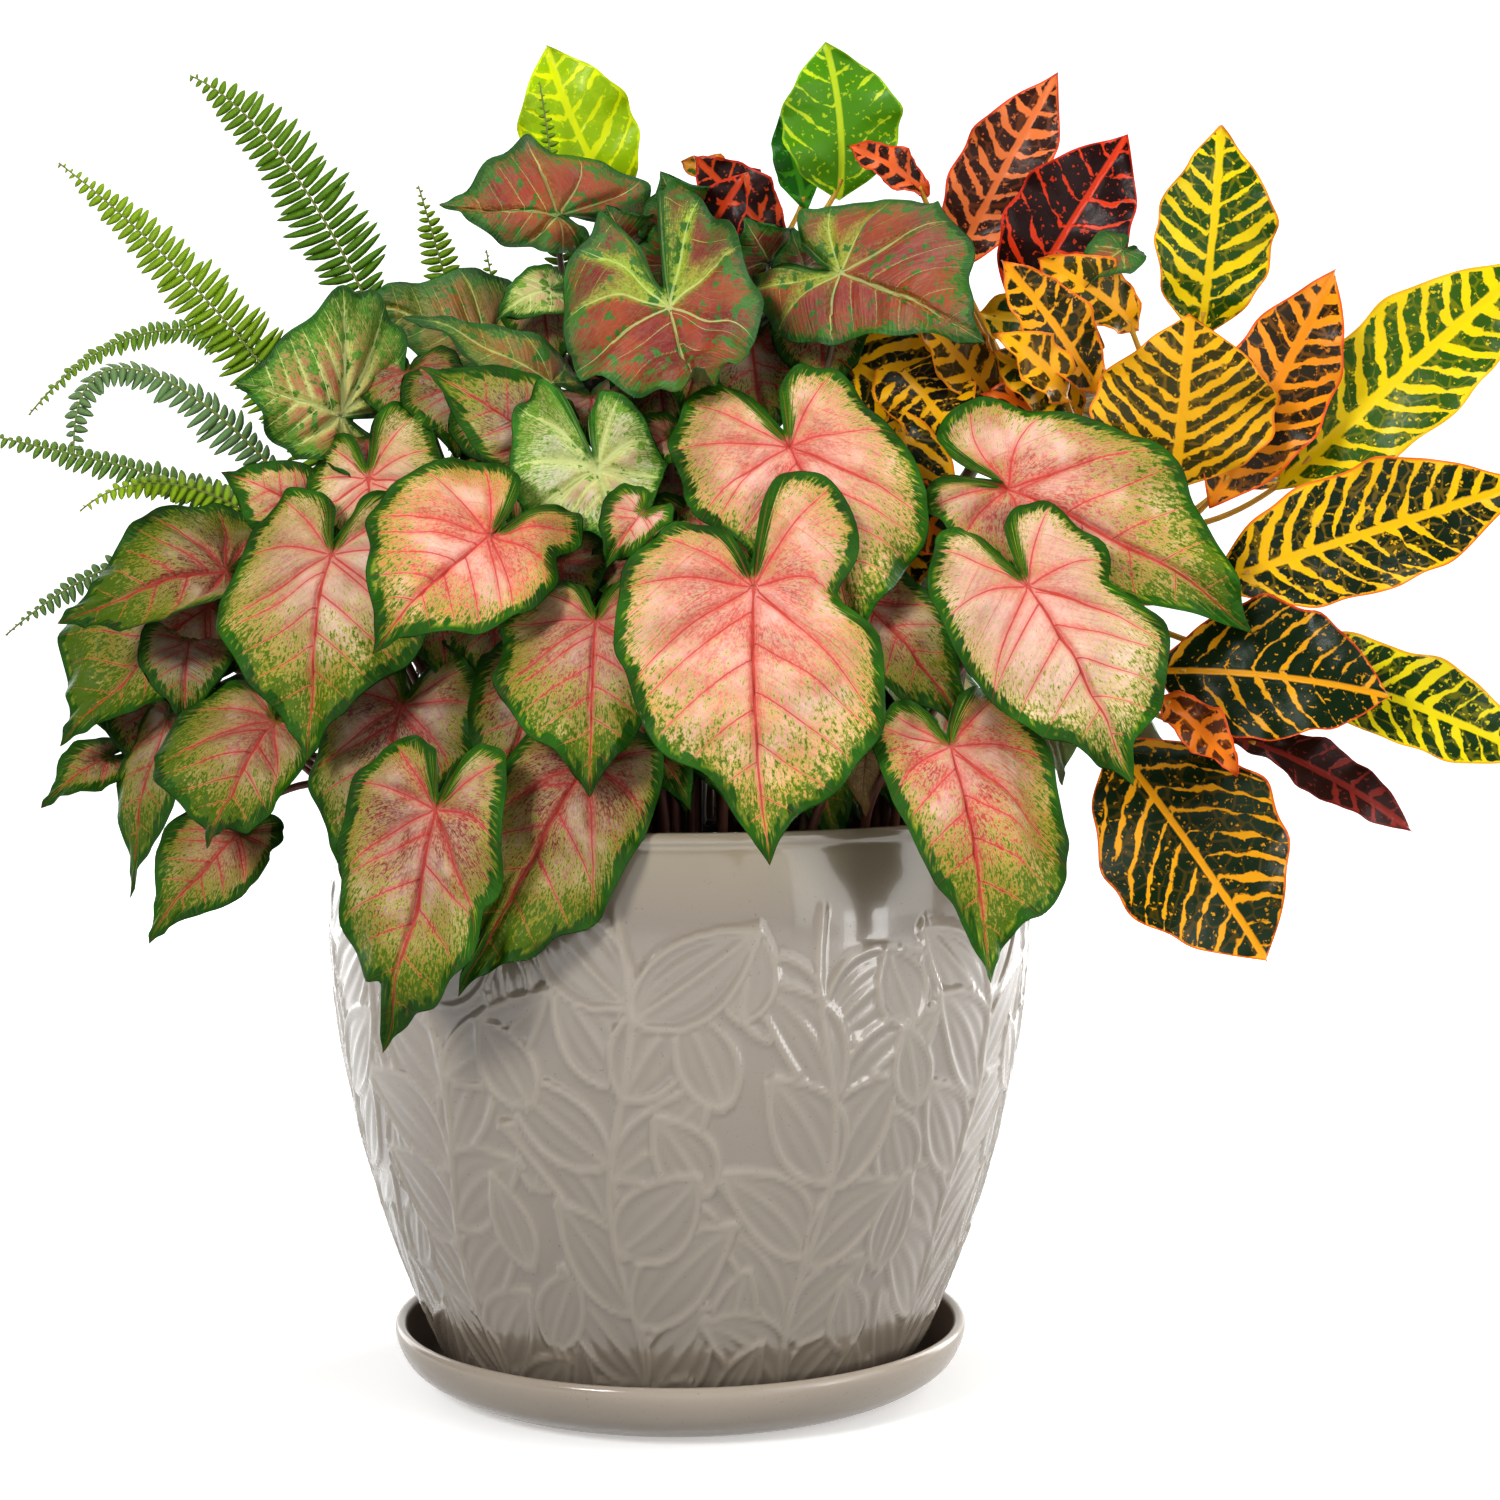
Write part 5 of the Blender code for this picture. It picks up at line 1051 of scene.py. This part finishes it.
# A leaf's base, tip, facing and half width; the colours of its veins, of the flesh between them and
# of its edge; the veins' half width and how far apart they are; and the midrib's rise and swing, the
# sides' roll, the twist and the wave.  A stem's foot, then the places that draw its curve.
Lamina = namedtuple("Lamina", "base tip face half colours band spacing arch bow roll twist wave",
                    defaults=(6, 0, 25, 0, 2.8))
Stem = namedtuple("Stem", "name foot low high top leaves")
CROTONS = [
    Stem("right", (100, 4), (104, 4, 300), (196, -16, 330), (222, -30, 420), [
        Lamina((230, -15, 466), (237, -25, 559), (5, 10), 25, "#F6DE0A #2A4E10 #EE8A28", 1.8, 6.5, 5),
        Lamina((215, -44, 399), (219, -61, 474), (0, 5), 37, "#F6BE16 #3E380E #EE7A28", 2.3, 5.5, 4, 0, 20),
        Lamina((231, -40, 392), (284, -45, 495), (5, 10), 23, "#F6A018 #2E220E #E8502A", 2.1, 6.5),
        Lamina((261, -30, 400), (373, -40, 501), (0, 20), 27, "#F8DC08 #3A6010 #EEB42A", 2.6, 7.5),
        Lamina((228, -50, 358), (364, -70, 403), (0, 20), 27, "#FACA08 #14260E #EE6A22", 2.0, 6.5, 3),
        Lamina((183, -40, 441), (139, -50, 498), (0, 20), 15, "#F4AE18 #2A2A10 #EE7A28", 1.6, 5.5),
        Lamina((170, -44, 438), (136, -64, 466), (0, 25), 12, "#F6B418 #4A3A10 #EE8A28", 2.4, 6.0),
        Lamina((205, -58, 322), (302, -84, 312), (5, 25), 31, "#E4A81A #10260C #D8501E", 0.7, 7.5, 8),
        Lamina((240, -42, 333), (380, -60, 280), (0, 25), 21, "#E8DC14 #1E3A14 #E8A020", 1.9, 6.5, 8),
        Lamina((240, -40, 294), (319, -52, 252), (0, 50), 12, "#9A3830 #3A1E1A #7A2A24", 0.6, 6.5, 6, 0, 30,
               40),
        Lamina((184, -82, 294), (248, -100, 202), (0, 15), 37, "#F4B00E #12280C #E8641E", 1.2, 7.0, 6),
        Lamina((203, -88, 313), (234, -106, 281), (5, 20), 10, "#F08A1E #5A2E12 #E85A28", 1.8, 5.5),
        Lamina((240, -6, 404), (290, 52, 402), (120, 30), 24, "#F4C40C #2A3A12 #E86A24", 1.5, 6.5, 8),
        Lamina((142, -24, 434), (104, -34, 476), (0, 20), 13, "#F0B01C #4A3A10 #E88A28", 1.8, 6.0),
        Lamina((202, -26, 470), (156, -36, 500), (0, 20), 14, "#F0B01C #3A3A10 #EE7A28", 1.9, 6.0),
        Lamina((176, -30, 432), (135, -50, 459), (0, 20), 15, "#F2BC14 #2A3A12 #EE8A28", 1.9, 6.0),
        Lamina((159, -30, 429), (133, -45, 442), (0, 25), 12, "#E8781E #3A1E10 #E0501E", 1.6, 5.0),
    ]),
    Stem("middle", (66, 26), (70, 26, 320), (120, 24, 380), (152, 12, 450), [
        Lamina((124, 42, 502), (171, 25, 590), (-5, 10), 20, "#F08A4A #3A1E16 #E0442E", 1.6, 6.5),
        Lamina((150, 10, 478), (199, -5, 558), (0, 15), 26, "#E8481E #260C0A #D0361E", 0.7, 8.0),
        Lamina((93, -14, 458), (124, -52, 414), (0, 30), 20, "#F6BC0E #1E1C10 #F08A1E", 1.7, 5.0),
        Lamina((114, 44, 537), (76, 40, 559), (0, 20), 9, "#E8743A #2A1612 #D8441E", 1.2, 5.0),
        Lamina((152, 38, 440), (196, 96, 436), (145, 25), 23, "#F4C40C #2A3A12 #E86A24", 1.5, 6.5, 7),
        Lamina((56, -16, 468), (130, -26, 416), (5, 25), 25, "#F4BC10 #1C2410 #F0981E", 2.6, 6.5, 6),
        Lamina((96, -44, 436), (98, -58, 352), (0, 10), 23, "#F4B814 #1E2A10 #F08A1E", 2.5, 6.5, 5),
        Lamina((134, 2, 480), (188, -16, 464), (0, 25), 17, "#F2C414 #2A4A14 #F0A81E", 2.6, 7.0, 4),
        Lamina((120, 20, 500), (102, 6, 452), (0, 15), 16, "#E89A1E #1E2A10 #E0641E", 1.6, 6.0, 4),
    ]),
    Stem("back", (6, 46), (6, 46, 360), (14, 44, 420), (12, 40, 480), [
        Lamina((-28, 40, 530), (-61, 30, 603), (-5, 10), 25, "#E0EA0A #9ABE06 #C0D80C", 1.6, 6.5, 5, 3),
        Lamina((73, 55, 536), (66, 45, 607), (3, 10), 26, "#C8DC2A #549012 #94C41E", 0.6, 7.5, 5, -3),
        Lamina((58, 76, 534), (46, 72, 580), (3, 10), 10, "#4E9A22 #23661A #2E7A1C", 0.8, 7.0, 4),
        Lamina((-18, 36, 524), (-44, 33, 541), (-5, 20), 9, "#E07A2A #2A2014 #D8541E", 1.4, 4.5),
        Lamina((26, 30, 536), (0, 26, 550), (0, 20), 8, "#C8902A #3A5A1A #C86A1E", 1.4, 4.5),
        Lamina((36, 26, 522), (16, 18, 547), (0, 20), 12, "#B43A28 #3A1414 #8A2018", 0.9, 5.0),
        Lamina((40, 10, 492), (76, -30, 452), (0, 30), 7, "#E8501E #5A1A12 #D8381E", 1.6, 5.0),
        Lamina((84, -64, 398), (122, -74, 372), (0, 20), 14, "#E8841E #2A2412 #E0601E", 1.4, 5.0),
        Lamina((34, 72, 486), (50, 138, 484), (172, 25), 22, "#A8C82A #4E8A1A #7FA81E", 1.2, 7.0, 7),
        Lamina((-2, 70, 466), (-34, 132, 466), (200, 25), 21, "#F4C40C #2A3A12 #E86A24", 1.5, 6.5, 7),
        Lamina((46, 22, 510), (6, 8, 550), (0, 15), 15, "#C8501E #26100E #C8381E", 0.9, 6.5, 4),
        Lamina((4, 10, 500), (30, -14, 540), (0, 15), 13, "#C8481E #220E0C #C8381E", 0.8, 6.5, 4),
        Lamina((-8, 20, 470), (-48, -4, 432), (-5, 20), 22, "#8E5A20 #1E1A10 #A04A1E", 1.0, 6.0, 5),
        Lamina((28, 16, 480), (50, -20, 440), (0, 20), 15, "#D8642A #2A1410 #E0501E", 1.2, 5.0, 5),
    ]),
]
# The outline: a share of the half width at each share of the length
CROTON_SHARES = [0.0, 0.14, 0.38, 0.64, 0.87, 1.0]
CROTON_WIDTHS = [0.0, 0.55, 0.97, 0.93, 0.42, 0.0]
LAMINA_WAVES = 2.5
SCALLOPS = 4.5
SCALLOP_DEPTH = 0.035
CELL_STRETCH = 1.6
STEM_FOOT = 5.5
STEM_TOP = 3.0
STEM_SCARS = 13
TWIG = 1.5
TWIG_TIP = 1.2
TWIG_DROP = 25
TWIG_STEM_POINTS = 3


def lamina_place(leaf, share, width, side):
    """Where places on a croton leaf lie: along the midrib, which rises and swings by parabolas,
    and out to a side that rolls on a circle, with waves that grow towards the edge."""
    along, across, out, length = frame_of(leaf.base, leaf.tip, leaf.face)
    flat, height = roll_up(1.08 * leaf.half * np.maximum(width, 1e-3), np.abs(side), leaf.roll)
    turn = 2 * np.pi * LAMINA_WAVES * share
    calm = np.minimum(1, 3 * np.abs(side))
    height = height + calm * leaf.wave * np.abs(side) * np.sin(turn + leaf.half + 2 * np.sign(side))
    height = height + 0.7 * side ** 4 * np.sin(3.1 * turn + 2 * leaf.half + np.sign(side))
    out_by, up_by = spun(np.sign(side) * flat, height, np.radians(leaf.twist) * share)
    hump = 4 * share * (1 - share)
    place = np.array(leaf.base, float) + (along * length) * share[..., None]
    place = place + across * (out_by + leaf.bow * hump)[..., None]
    return place + out * (up_by + leaf.arch * hump)[..., None]


def lamina_patch(leaf):
    """A croton leaf as one closed skin: a loop across the upper face and back under it, carried
    from base to tip and puffed by a squared sine between its veins.  Its fields hold the side
    veins' lines, the gaps to midrib and edge and the colours."""
    gold, ink, hem = (linear(code) for code in leaf.colours.split())
    out, length = frame_of(leaf.base, leaf.tip, leaf.face)[2:]
    rows = int(np.clip(length / 1.9, 18, 64))
    across = int(np.clip(leaf.half / 1.7, 5, 18))
    share = (1 - np.cos(np.pi * np.linspace(0, 1, rows))) / 2 * 0.5 + np.linspace(0, 1, rows) * 0.5
    upper = np.sin(np.linspace(-1, 1, 2 * across + 1) * np.pi / 2)
    loop = np.concatenate([upper, upper[-2:0:-1]])
    share, side = np.meshgrid(share, loop, indexing="ij")
    under = (np.arange(loop.size) > 2 * across) + 0 * side
    width = np.clip(through(CROTON_SHARES, CROTON_WIDTHS, share), 0, 1.02)
    scallop = np.sin(2 * np.pi * SCALLOPS * share + leaf.half + 2 * np.sign(side))
    width = width * (1 + SCALLOP_DEPTH * scallop)
    place = lamina_place(leaf, share, width, side)
    x = side * width * leaf.half
    pitch = CELL_STRETCH * leaf.spacing
    lines = (share * length - 0.5 * np.abs(x) - 0.012 * x ** 2) / pitch + 0.3 * (side > 0)
    normal = np.where((np.abs(side) > 0.999)[..., None], out, normals(place, out))
    puff = 0.5 * np.sin(np.pi * lines) ** 2 * (np.abs(x) > 1.5) * (1 - side ** 4) - 0.4 * (np.abs(x) < 1)
    place = place + normal * (puff * np.minimum(1, width * 2))[..., None]
    thick = BLADE * (1 - np.abs(side) ** 6) * np.minimum(1, 4 * width)
    place = place - normal * (thick * under)[..., None]
    margin = width * leaf.half * (1 - np.abs(side)) * 0.93
    rib = np.stack([lines, np.full(side.shape, pitch / np.hypot(1, 0.55)), np.abs(x)], -1)
    return Patch(place * MM, {"rib": rib, "edge": np.stack([margin, under, 0 * side], -1),
                              "gold": (*gold[:3], leaf.band), "ink": ink, "hem": hem})


def climb(growth, steps):
    """A stem's or a rib's middle line: straight up out of the soil, then a cubic curve to its top."""
    foot = root_of(growth.foot)
    return np.vstack([foot, bezier(foot + (0, 0, HOLE_DEPTH), *np.array(growth[2:5], float), steps)])


CROTON_SKIN, node, shader = new_material("croton_blade")
# Leathery leaf with a waxed gloss: dark cells between broad bright veins, dotted and netted
(rib, rib_gap, spine), (margin, under, _) = (
    node("SeparateXYZ", node("Attribute", attribute_name=field).outputs["Vector"]).outputs
    for field in ("rib", "edge"))
gold, ink, hem = (node("Attribute", attribute_name=field).outputs for field in ("gold", "ink", "hem"))
band = gold["Alpha"]
gold, ink, hem = (outputs["Color"] for outputs in (gold, ink, hem))
spot = node("TexCoord").outputs["Object"]
rag = node("TexNoise", spot, Scale=150.0, Detail=3.0, Roughness=0.6)
swing = node("Math", rag, -0.5, operation="ADD")
stray = node("Math", node("TexNoise", spot, Scale=85.0, Detail=1.0), 0.6, rib, operation="MULTIPLY_ADD")
near = node("Math", node("Math", stray, 0.5, operation="PINGPONG"), rib_gap, operation="MULTIPLY")
near = node("Math", swing, 5.0, near, operation="MULTIPLY_ADD")
slow = node("Math", node("TexNoise", spot, Scale=48.0, Detail=1.0), -0.5, operation="ADD")
near = node("Math", slow, 4.5, near, operation="MULTIPLY_ADD")
middle = node("Math", swing, 2.0, node("Math", spine, 0.75, operation="MULTIPLY"), operation="MULTIPLY_ADD")
outer = node("Math", swing, 7.0, margin, operation="MULTIPLY_ADD")
least = node("Math", node("Math", near, middle, operation="MINIMUM"), outer, operation="MINIMUM")
cells = node("MapRange", node("Math", band, -0.66, least, operation="MULTIPLY_ADD"), -0.2, 0.35)
raised = node("Math", cells, -0.5, rag, operation="MULTIPLY_ADD")
flecks = node("MapRange", node("TexNoise", spot, Scale=420.0, Detail=2.0), 0.62, 0.68, 1.0, 0.25)
cells = node("Math", cells, flecks, operation="MULTIPLY")
thread = node("TexVoronoi", spot, Scale=120.0, feature="DISTANCE_TO_EDGE")
thread = node("Math", rag, 0.28, thread, operation="MULTIPLY_ADD")
thread = node("MapRange", thread, 0.16, 0.22, 0.84, 1.0)
thread = node("MixRGB", node("MapRange", band, 0.7, 1.8), "#FFFFFF", thread)
cells = node("Math", cells, thread, operation="MULTIPLY")
tone = node("MixRGB", 0.25, gold, node("MixRGB", rag, gold, hem))
tone = node("MixRGB", cells, tone, ink)
tone = node("MixRGB", node("MapRange", spine, 1.0, 1.7, 1.0, 0.0), tone, node("MixRGB", 0.16, gold, hem))
tone = node("MixRGB", node("MapRange", margin, 0.5, 1.3, 0.85, 0.0), tone, hem)
tone = node("MixRGB", node("Math", under, 0.55, operation="MULTIPLY"), tone, "#8A7A3A")
bump = node("Bump", Height=raised, Strength=0.45, Distance=0.0008)
gloss = node("MapRange", rag, 0, 1, 0.24, 0.46)
feed(shader, {"Base Color": tone, "Roughness": gloss, "Normal": bump, "Specular IOR Level": 0.2})
# Young wood: grey-brown bark with fine cracks; the leaf stalks are fleshy and yellow
CROTON_BARK = stalk_skin("croton_bark", "#4A3E2E", "#7A6A50")
CROTON_STALK = stalk_skin("croton_leaf_stalk", "#B88A1E", "#D8A83A")
for stem in CROTONS:
    joints = climb(stem, 7)
    path = climb(stem, 60)
    scars = 1 + 0.07 * np.cos(np.linspace(0, 2 * np.pi * STEM_SCARS, len(path)))
    patches = [stalk_patch(path, np.linspace(STEM_FOOT, STEM_TOP, len(path)) * scars, 14)]
    for leaf in stem.leaves:
        patches.append(lamina_patch(leaf))
        out = frame_of(leaf.base, leaf.tip, leaf.face)[2]
        end = lamina_place(leaf, np.array(CROTON_SHARES[1]), np.array(0.0), np.array(0.0))
        base = np.array(leaf.base, float)
        drop = np.array([0, 0, min(TWIG_DROP, 0.6 * np.linalg.norm(base - joints[-1]))])
        gaps = np.linalg.norm(joints[TWIG_STEM_POINTS:] - (base - drop), axis=1)
        start = joints[TWIG_STEM_POINTS + int(np.argmin(gaps))]
        twig = bezier(start, (start + base - drop) / 2, base - out * 4 * TWIG, end - out * BLADE * 0.5, 16)
        patches.append(stalk_patch(twig, np.linspace(TWIG, TWIG_TIP, len(twig)), 8, 2))
    build_piece("croton_stem_" + stem.name, patches, [CROTON_SKIN, CROTON_BARK, CROTON_STALK],
                "croton_leaf", "croton_" + stem.name)


# The sword fern: wiry green ribs that arch over, each with two close rows of small toothless
# leaflets, fresh yellow-green at the young tips and grey-green on the underside.

# A frond's foot, then the places that draw its curve, and its facing; where along it the leaflets
# start, how long they are, how far they sag and how far apart they sit; how yellow and how grey
Frond = namedtuple("Frond", "name foot low high tip face start reach droop pitch yellow grey")
FRONDS = [
    Frond("tall", (-78, 24), (-92, 6, 400), (-158, 0, 560), (-219, 10, 586), (-20, 10), 0.55, 22, 3, 4.2,
          0.1, 0.005),
    Frond("broad", (-88, 2), (-100, -28, 360), (-190, -22, 482), (-276, 0, 546), (-20, 20), 0.4, 20, 3, 4.0,
          0.45, 0.0225),
    Frond("arched", (-98, 22), (-120, 22, 470), (-230, 26, 520), (-294, 12, 435), (-20, 50), 0.5, 13, 2,
          3.4, 0.2, 0.11),
    Frond("grey", (-100, -14), (-118, -36, 385), (-262, -60, 520), (-255, -70, 412), (-20, 60), 0.45, 19, 4,
          4.0, 0.0, 0.8),
    Frond("low", (-106, 6), (-120, -2, 400), (-215, -6, 402), (-318, -14, 428), (-10, 45), 0.5, 12, 3, 3.8,
          0.15, 0.3075),
    Frond("lime", (-114, -10), (-130, -18, 375), (-220, -26, 430), (-262, -30, 391), (-10, 45), 0.5, 12, 3,
          4.0, 0.7, 0.035),
    Frond("trailing", (-114, 26), (-140, 12, 400), (-235, 6, 398), (-302, -4, 336), (-10, 40), 0.5, 12, 3,
          3.8, 0.0, 0.6),
    Frond("upright", (-66, 42), (-74, 30, 380), (-98, 20, 470), (-117, 8, 537), (-5, 10), 0.45, 16, 2, 3.6,
          0.2, 0.01),
    Frond("inner", (-44, 64), (-46, 50, 400), (-52, 18, 520), (-63, 14, 584), (-5, 10), 0.5, 9, 2, 3.6, 0.2,
          0.01),
    Frond("centre", (-58, 30), (-62, 32, 380), (-78, 26, 450), (-88, 22, 510), (-5, 15), 0.5, 12, 2, 3.8,
          0.1, 0.005),
    Frond("back_left", (-62, 78), (-70, 90, 400), (-130, 150, 500), (-190, 200, 440), (200, 50), 0.4, 18, 3,
          4.2, 0.2, 0.21),
    Frond("back_middle", (-24, 92), (-40, 112, 400), (-76, 190, 480), (-104, 240, 400), (190, 50), 0.4, 18,
          3, 4.2, 0.2, 0.21),
]
FROND_STEPS = 60
STIPE_FOOT = 1.9
STIPE_TIP = 0.7
RIB_END = 0.35
LEAFLET_WIDTH = 0.56
# A leaflet's rows, as shares of its length, and the corners of its section: across and up
LEAFLET_ROWS = np.array([0, 0.06, 0.25, 0.5, 0.75, 0.93, 1.0])
LEAFLET_LOOP = [(-1, 0.0), (0, 0.32), (1, 0.0), (0, -0.1)]


def leaflet_patches(frond, blade):
    """All leaflets of a frond along its blade's middle line, each a four-sided loop carried from the
    rib outwards, whose width is the root of a sine of the share, which sags by the square of the
    share and sweeps on.  They grow to full length over the first fifth and shrink towards the tip."""
    way = lengths(blade)
    count = int(way[-1] / frond.pitch)
    at = (np.arange(count) + 0.5) / count
    rib = np.stack([np.interp(at * way[-1], way, blade[:, i]) for i in range(3)], 1)
    tangent = unit(np.gradient(rib, axis=0))
    out = aim(*frond.face)
    out = unit(out - tangent * (tangent @ out)[:, None])
    side = np.cross(out, tangent)
    longest = frond.reach * np.minimum(1, 0.5 + 2.5 * at) * np.maximum(1 - at ** 2.2, 0.06) ** 0.8
    draw = np.random.default_rng(len(frond.name) + int(frond.reach))
    t = LEAFLET_ROWS
    taper = np.sqrt(np.sin(np.pi * np.clip(0.12 + 0.88 * t, 0, 1))) * (1 - 0.35 * t)
    patches = []
    for hand in (-1, 1):
        reach = longest * draw.uniform(0.78, 1.08, count)
        wide = np.minimum(frond.pitch * LEAFLET_WIDTH, reach * 0.35)
        sag = frond.droop * reach / frond.reach + draw.uniform(-1.2, 1.2, count)
        lean = draw.uniform(0.18, 0.5, count)
        for i in range(count):
            middle = rib[i] + tangent[i] * 0.25 * frond.pitch * hand + np.outer(t, side[i] * hand * reach[i])
            middle = middle + np.outer(lean[i] * t ** 1.5, tangent[i] * reach[i] * 0.55)
            middle = middle - np.outer(sag[i] * t ** 2, out[i])
            place = np.stack([middle + np.outer(wide[i] * taper, tangent[i] * hand * across + out[i] * up)
                              for across, up in LEAFLET_LOOP], 1)
            place[[0, -1]] = middle[[0, -1], None]
            patches.append(Patch(place * MM, {"frond": (at[i], frond.yellow, frond.grey)}))
    return patches


FERN_SKIN, node, shader = new_material("sword_fern_leaflet")
# Thin dry leaf: matt green, uneven in its grain, yellow-green where it is young
along, yellow, grey = node("SeparateXYZ", node("Attribute", attribute_name="frond").outputs["Vector"]).outputs
grain = node("TexNoise", node("TexCoord").outputs["Object"], Scale=240.0, Detail=3.0)
young = node("Math", node("Math", along, 2.0, operation="POWER"), 0.3, yellow, operation="MULTIPLY_ADD")
tone = node("MixRGB", young, node("MixRGB", grain, "#1F4E08", "#5A8A1C"), "#9AB814")
tone = node("MixRGB", grey, tone, "#6E8A5E")
bump = node("Bump", Height=grain, Strength=0.4, Distance=0.0004)
gloss = node("MapRange", grain, 0, 1, 0.45, 0.7)
feed(shader, {"Base Color": tone, "Roughness": gloss, "Normal": bump, "Specular IOR Level": 0.25})
# Wiry rib: tough and brown-green with fine lengthwise fibres
FERN_RIB = stalk_skin("sword_fern_rib", "#5A6A2A", "#86903E")
for frond in FRONDS:
    path = climb(frond, FROND_STEPS)
    first = int(frond.start * FROND_STEPS)
    radii = np.interp(np.arange(len(path)), [0, first, len(path)], [STIPE_FOOT, STIPE_TIP, RIB_END])
    patches = [stalk_patch(path, radii, 8), *leaflet_patches(frond, path[1 + first:])]
    build_piece("frond_" + frond.name, patches, [FERN_SKIN, FERN_RIB], "fern_leaf", "fern_" + frond.name)
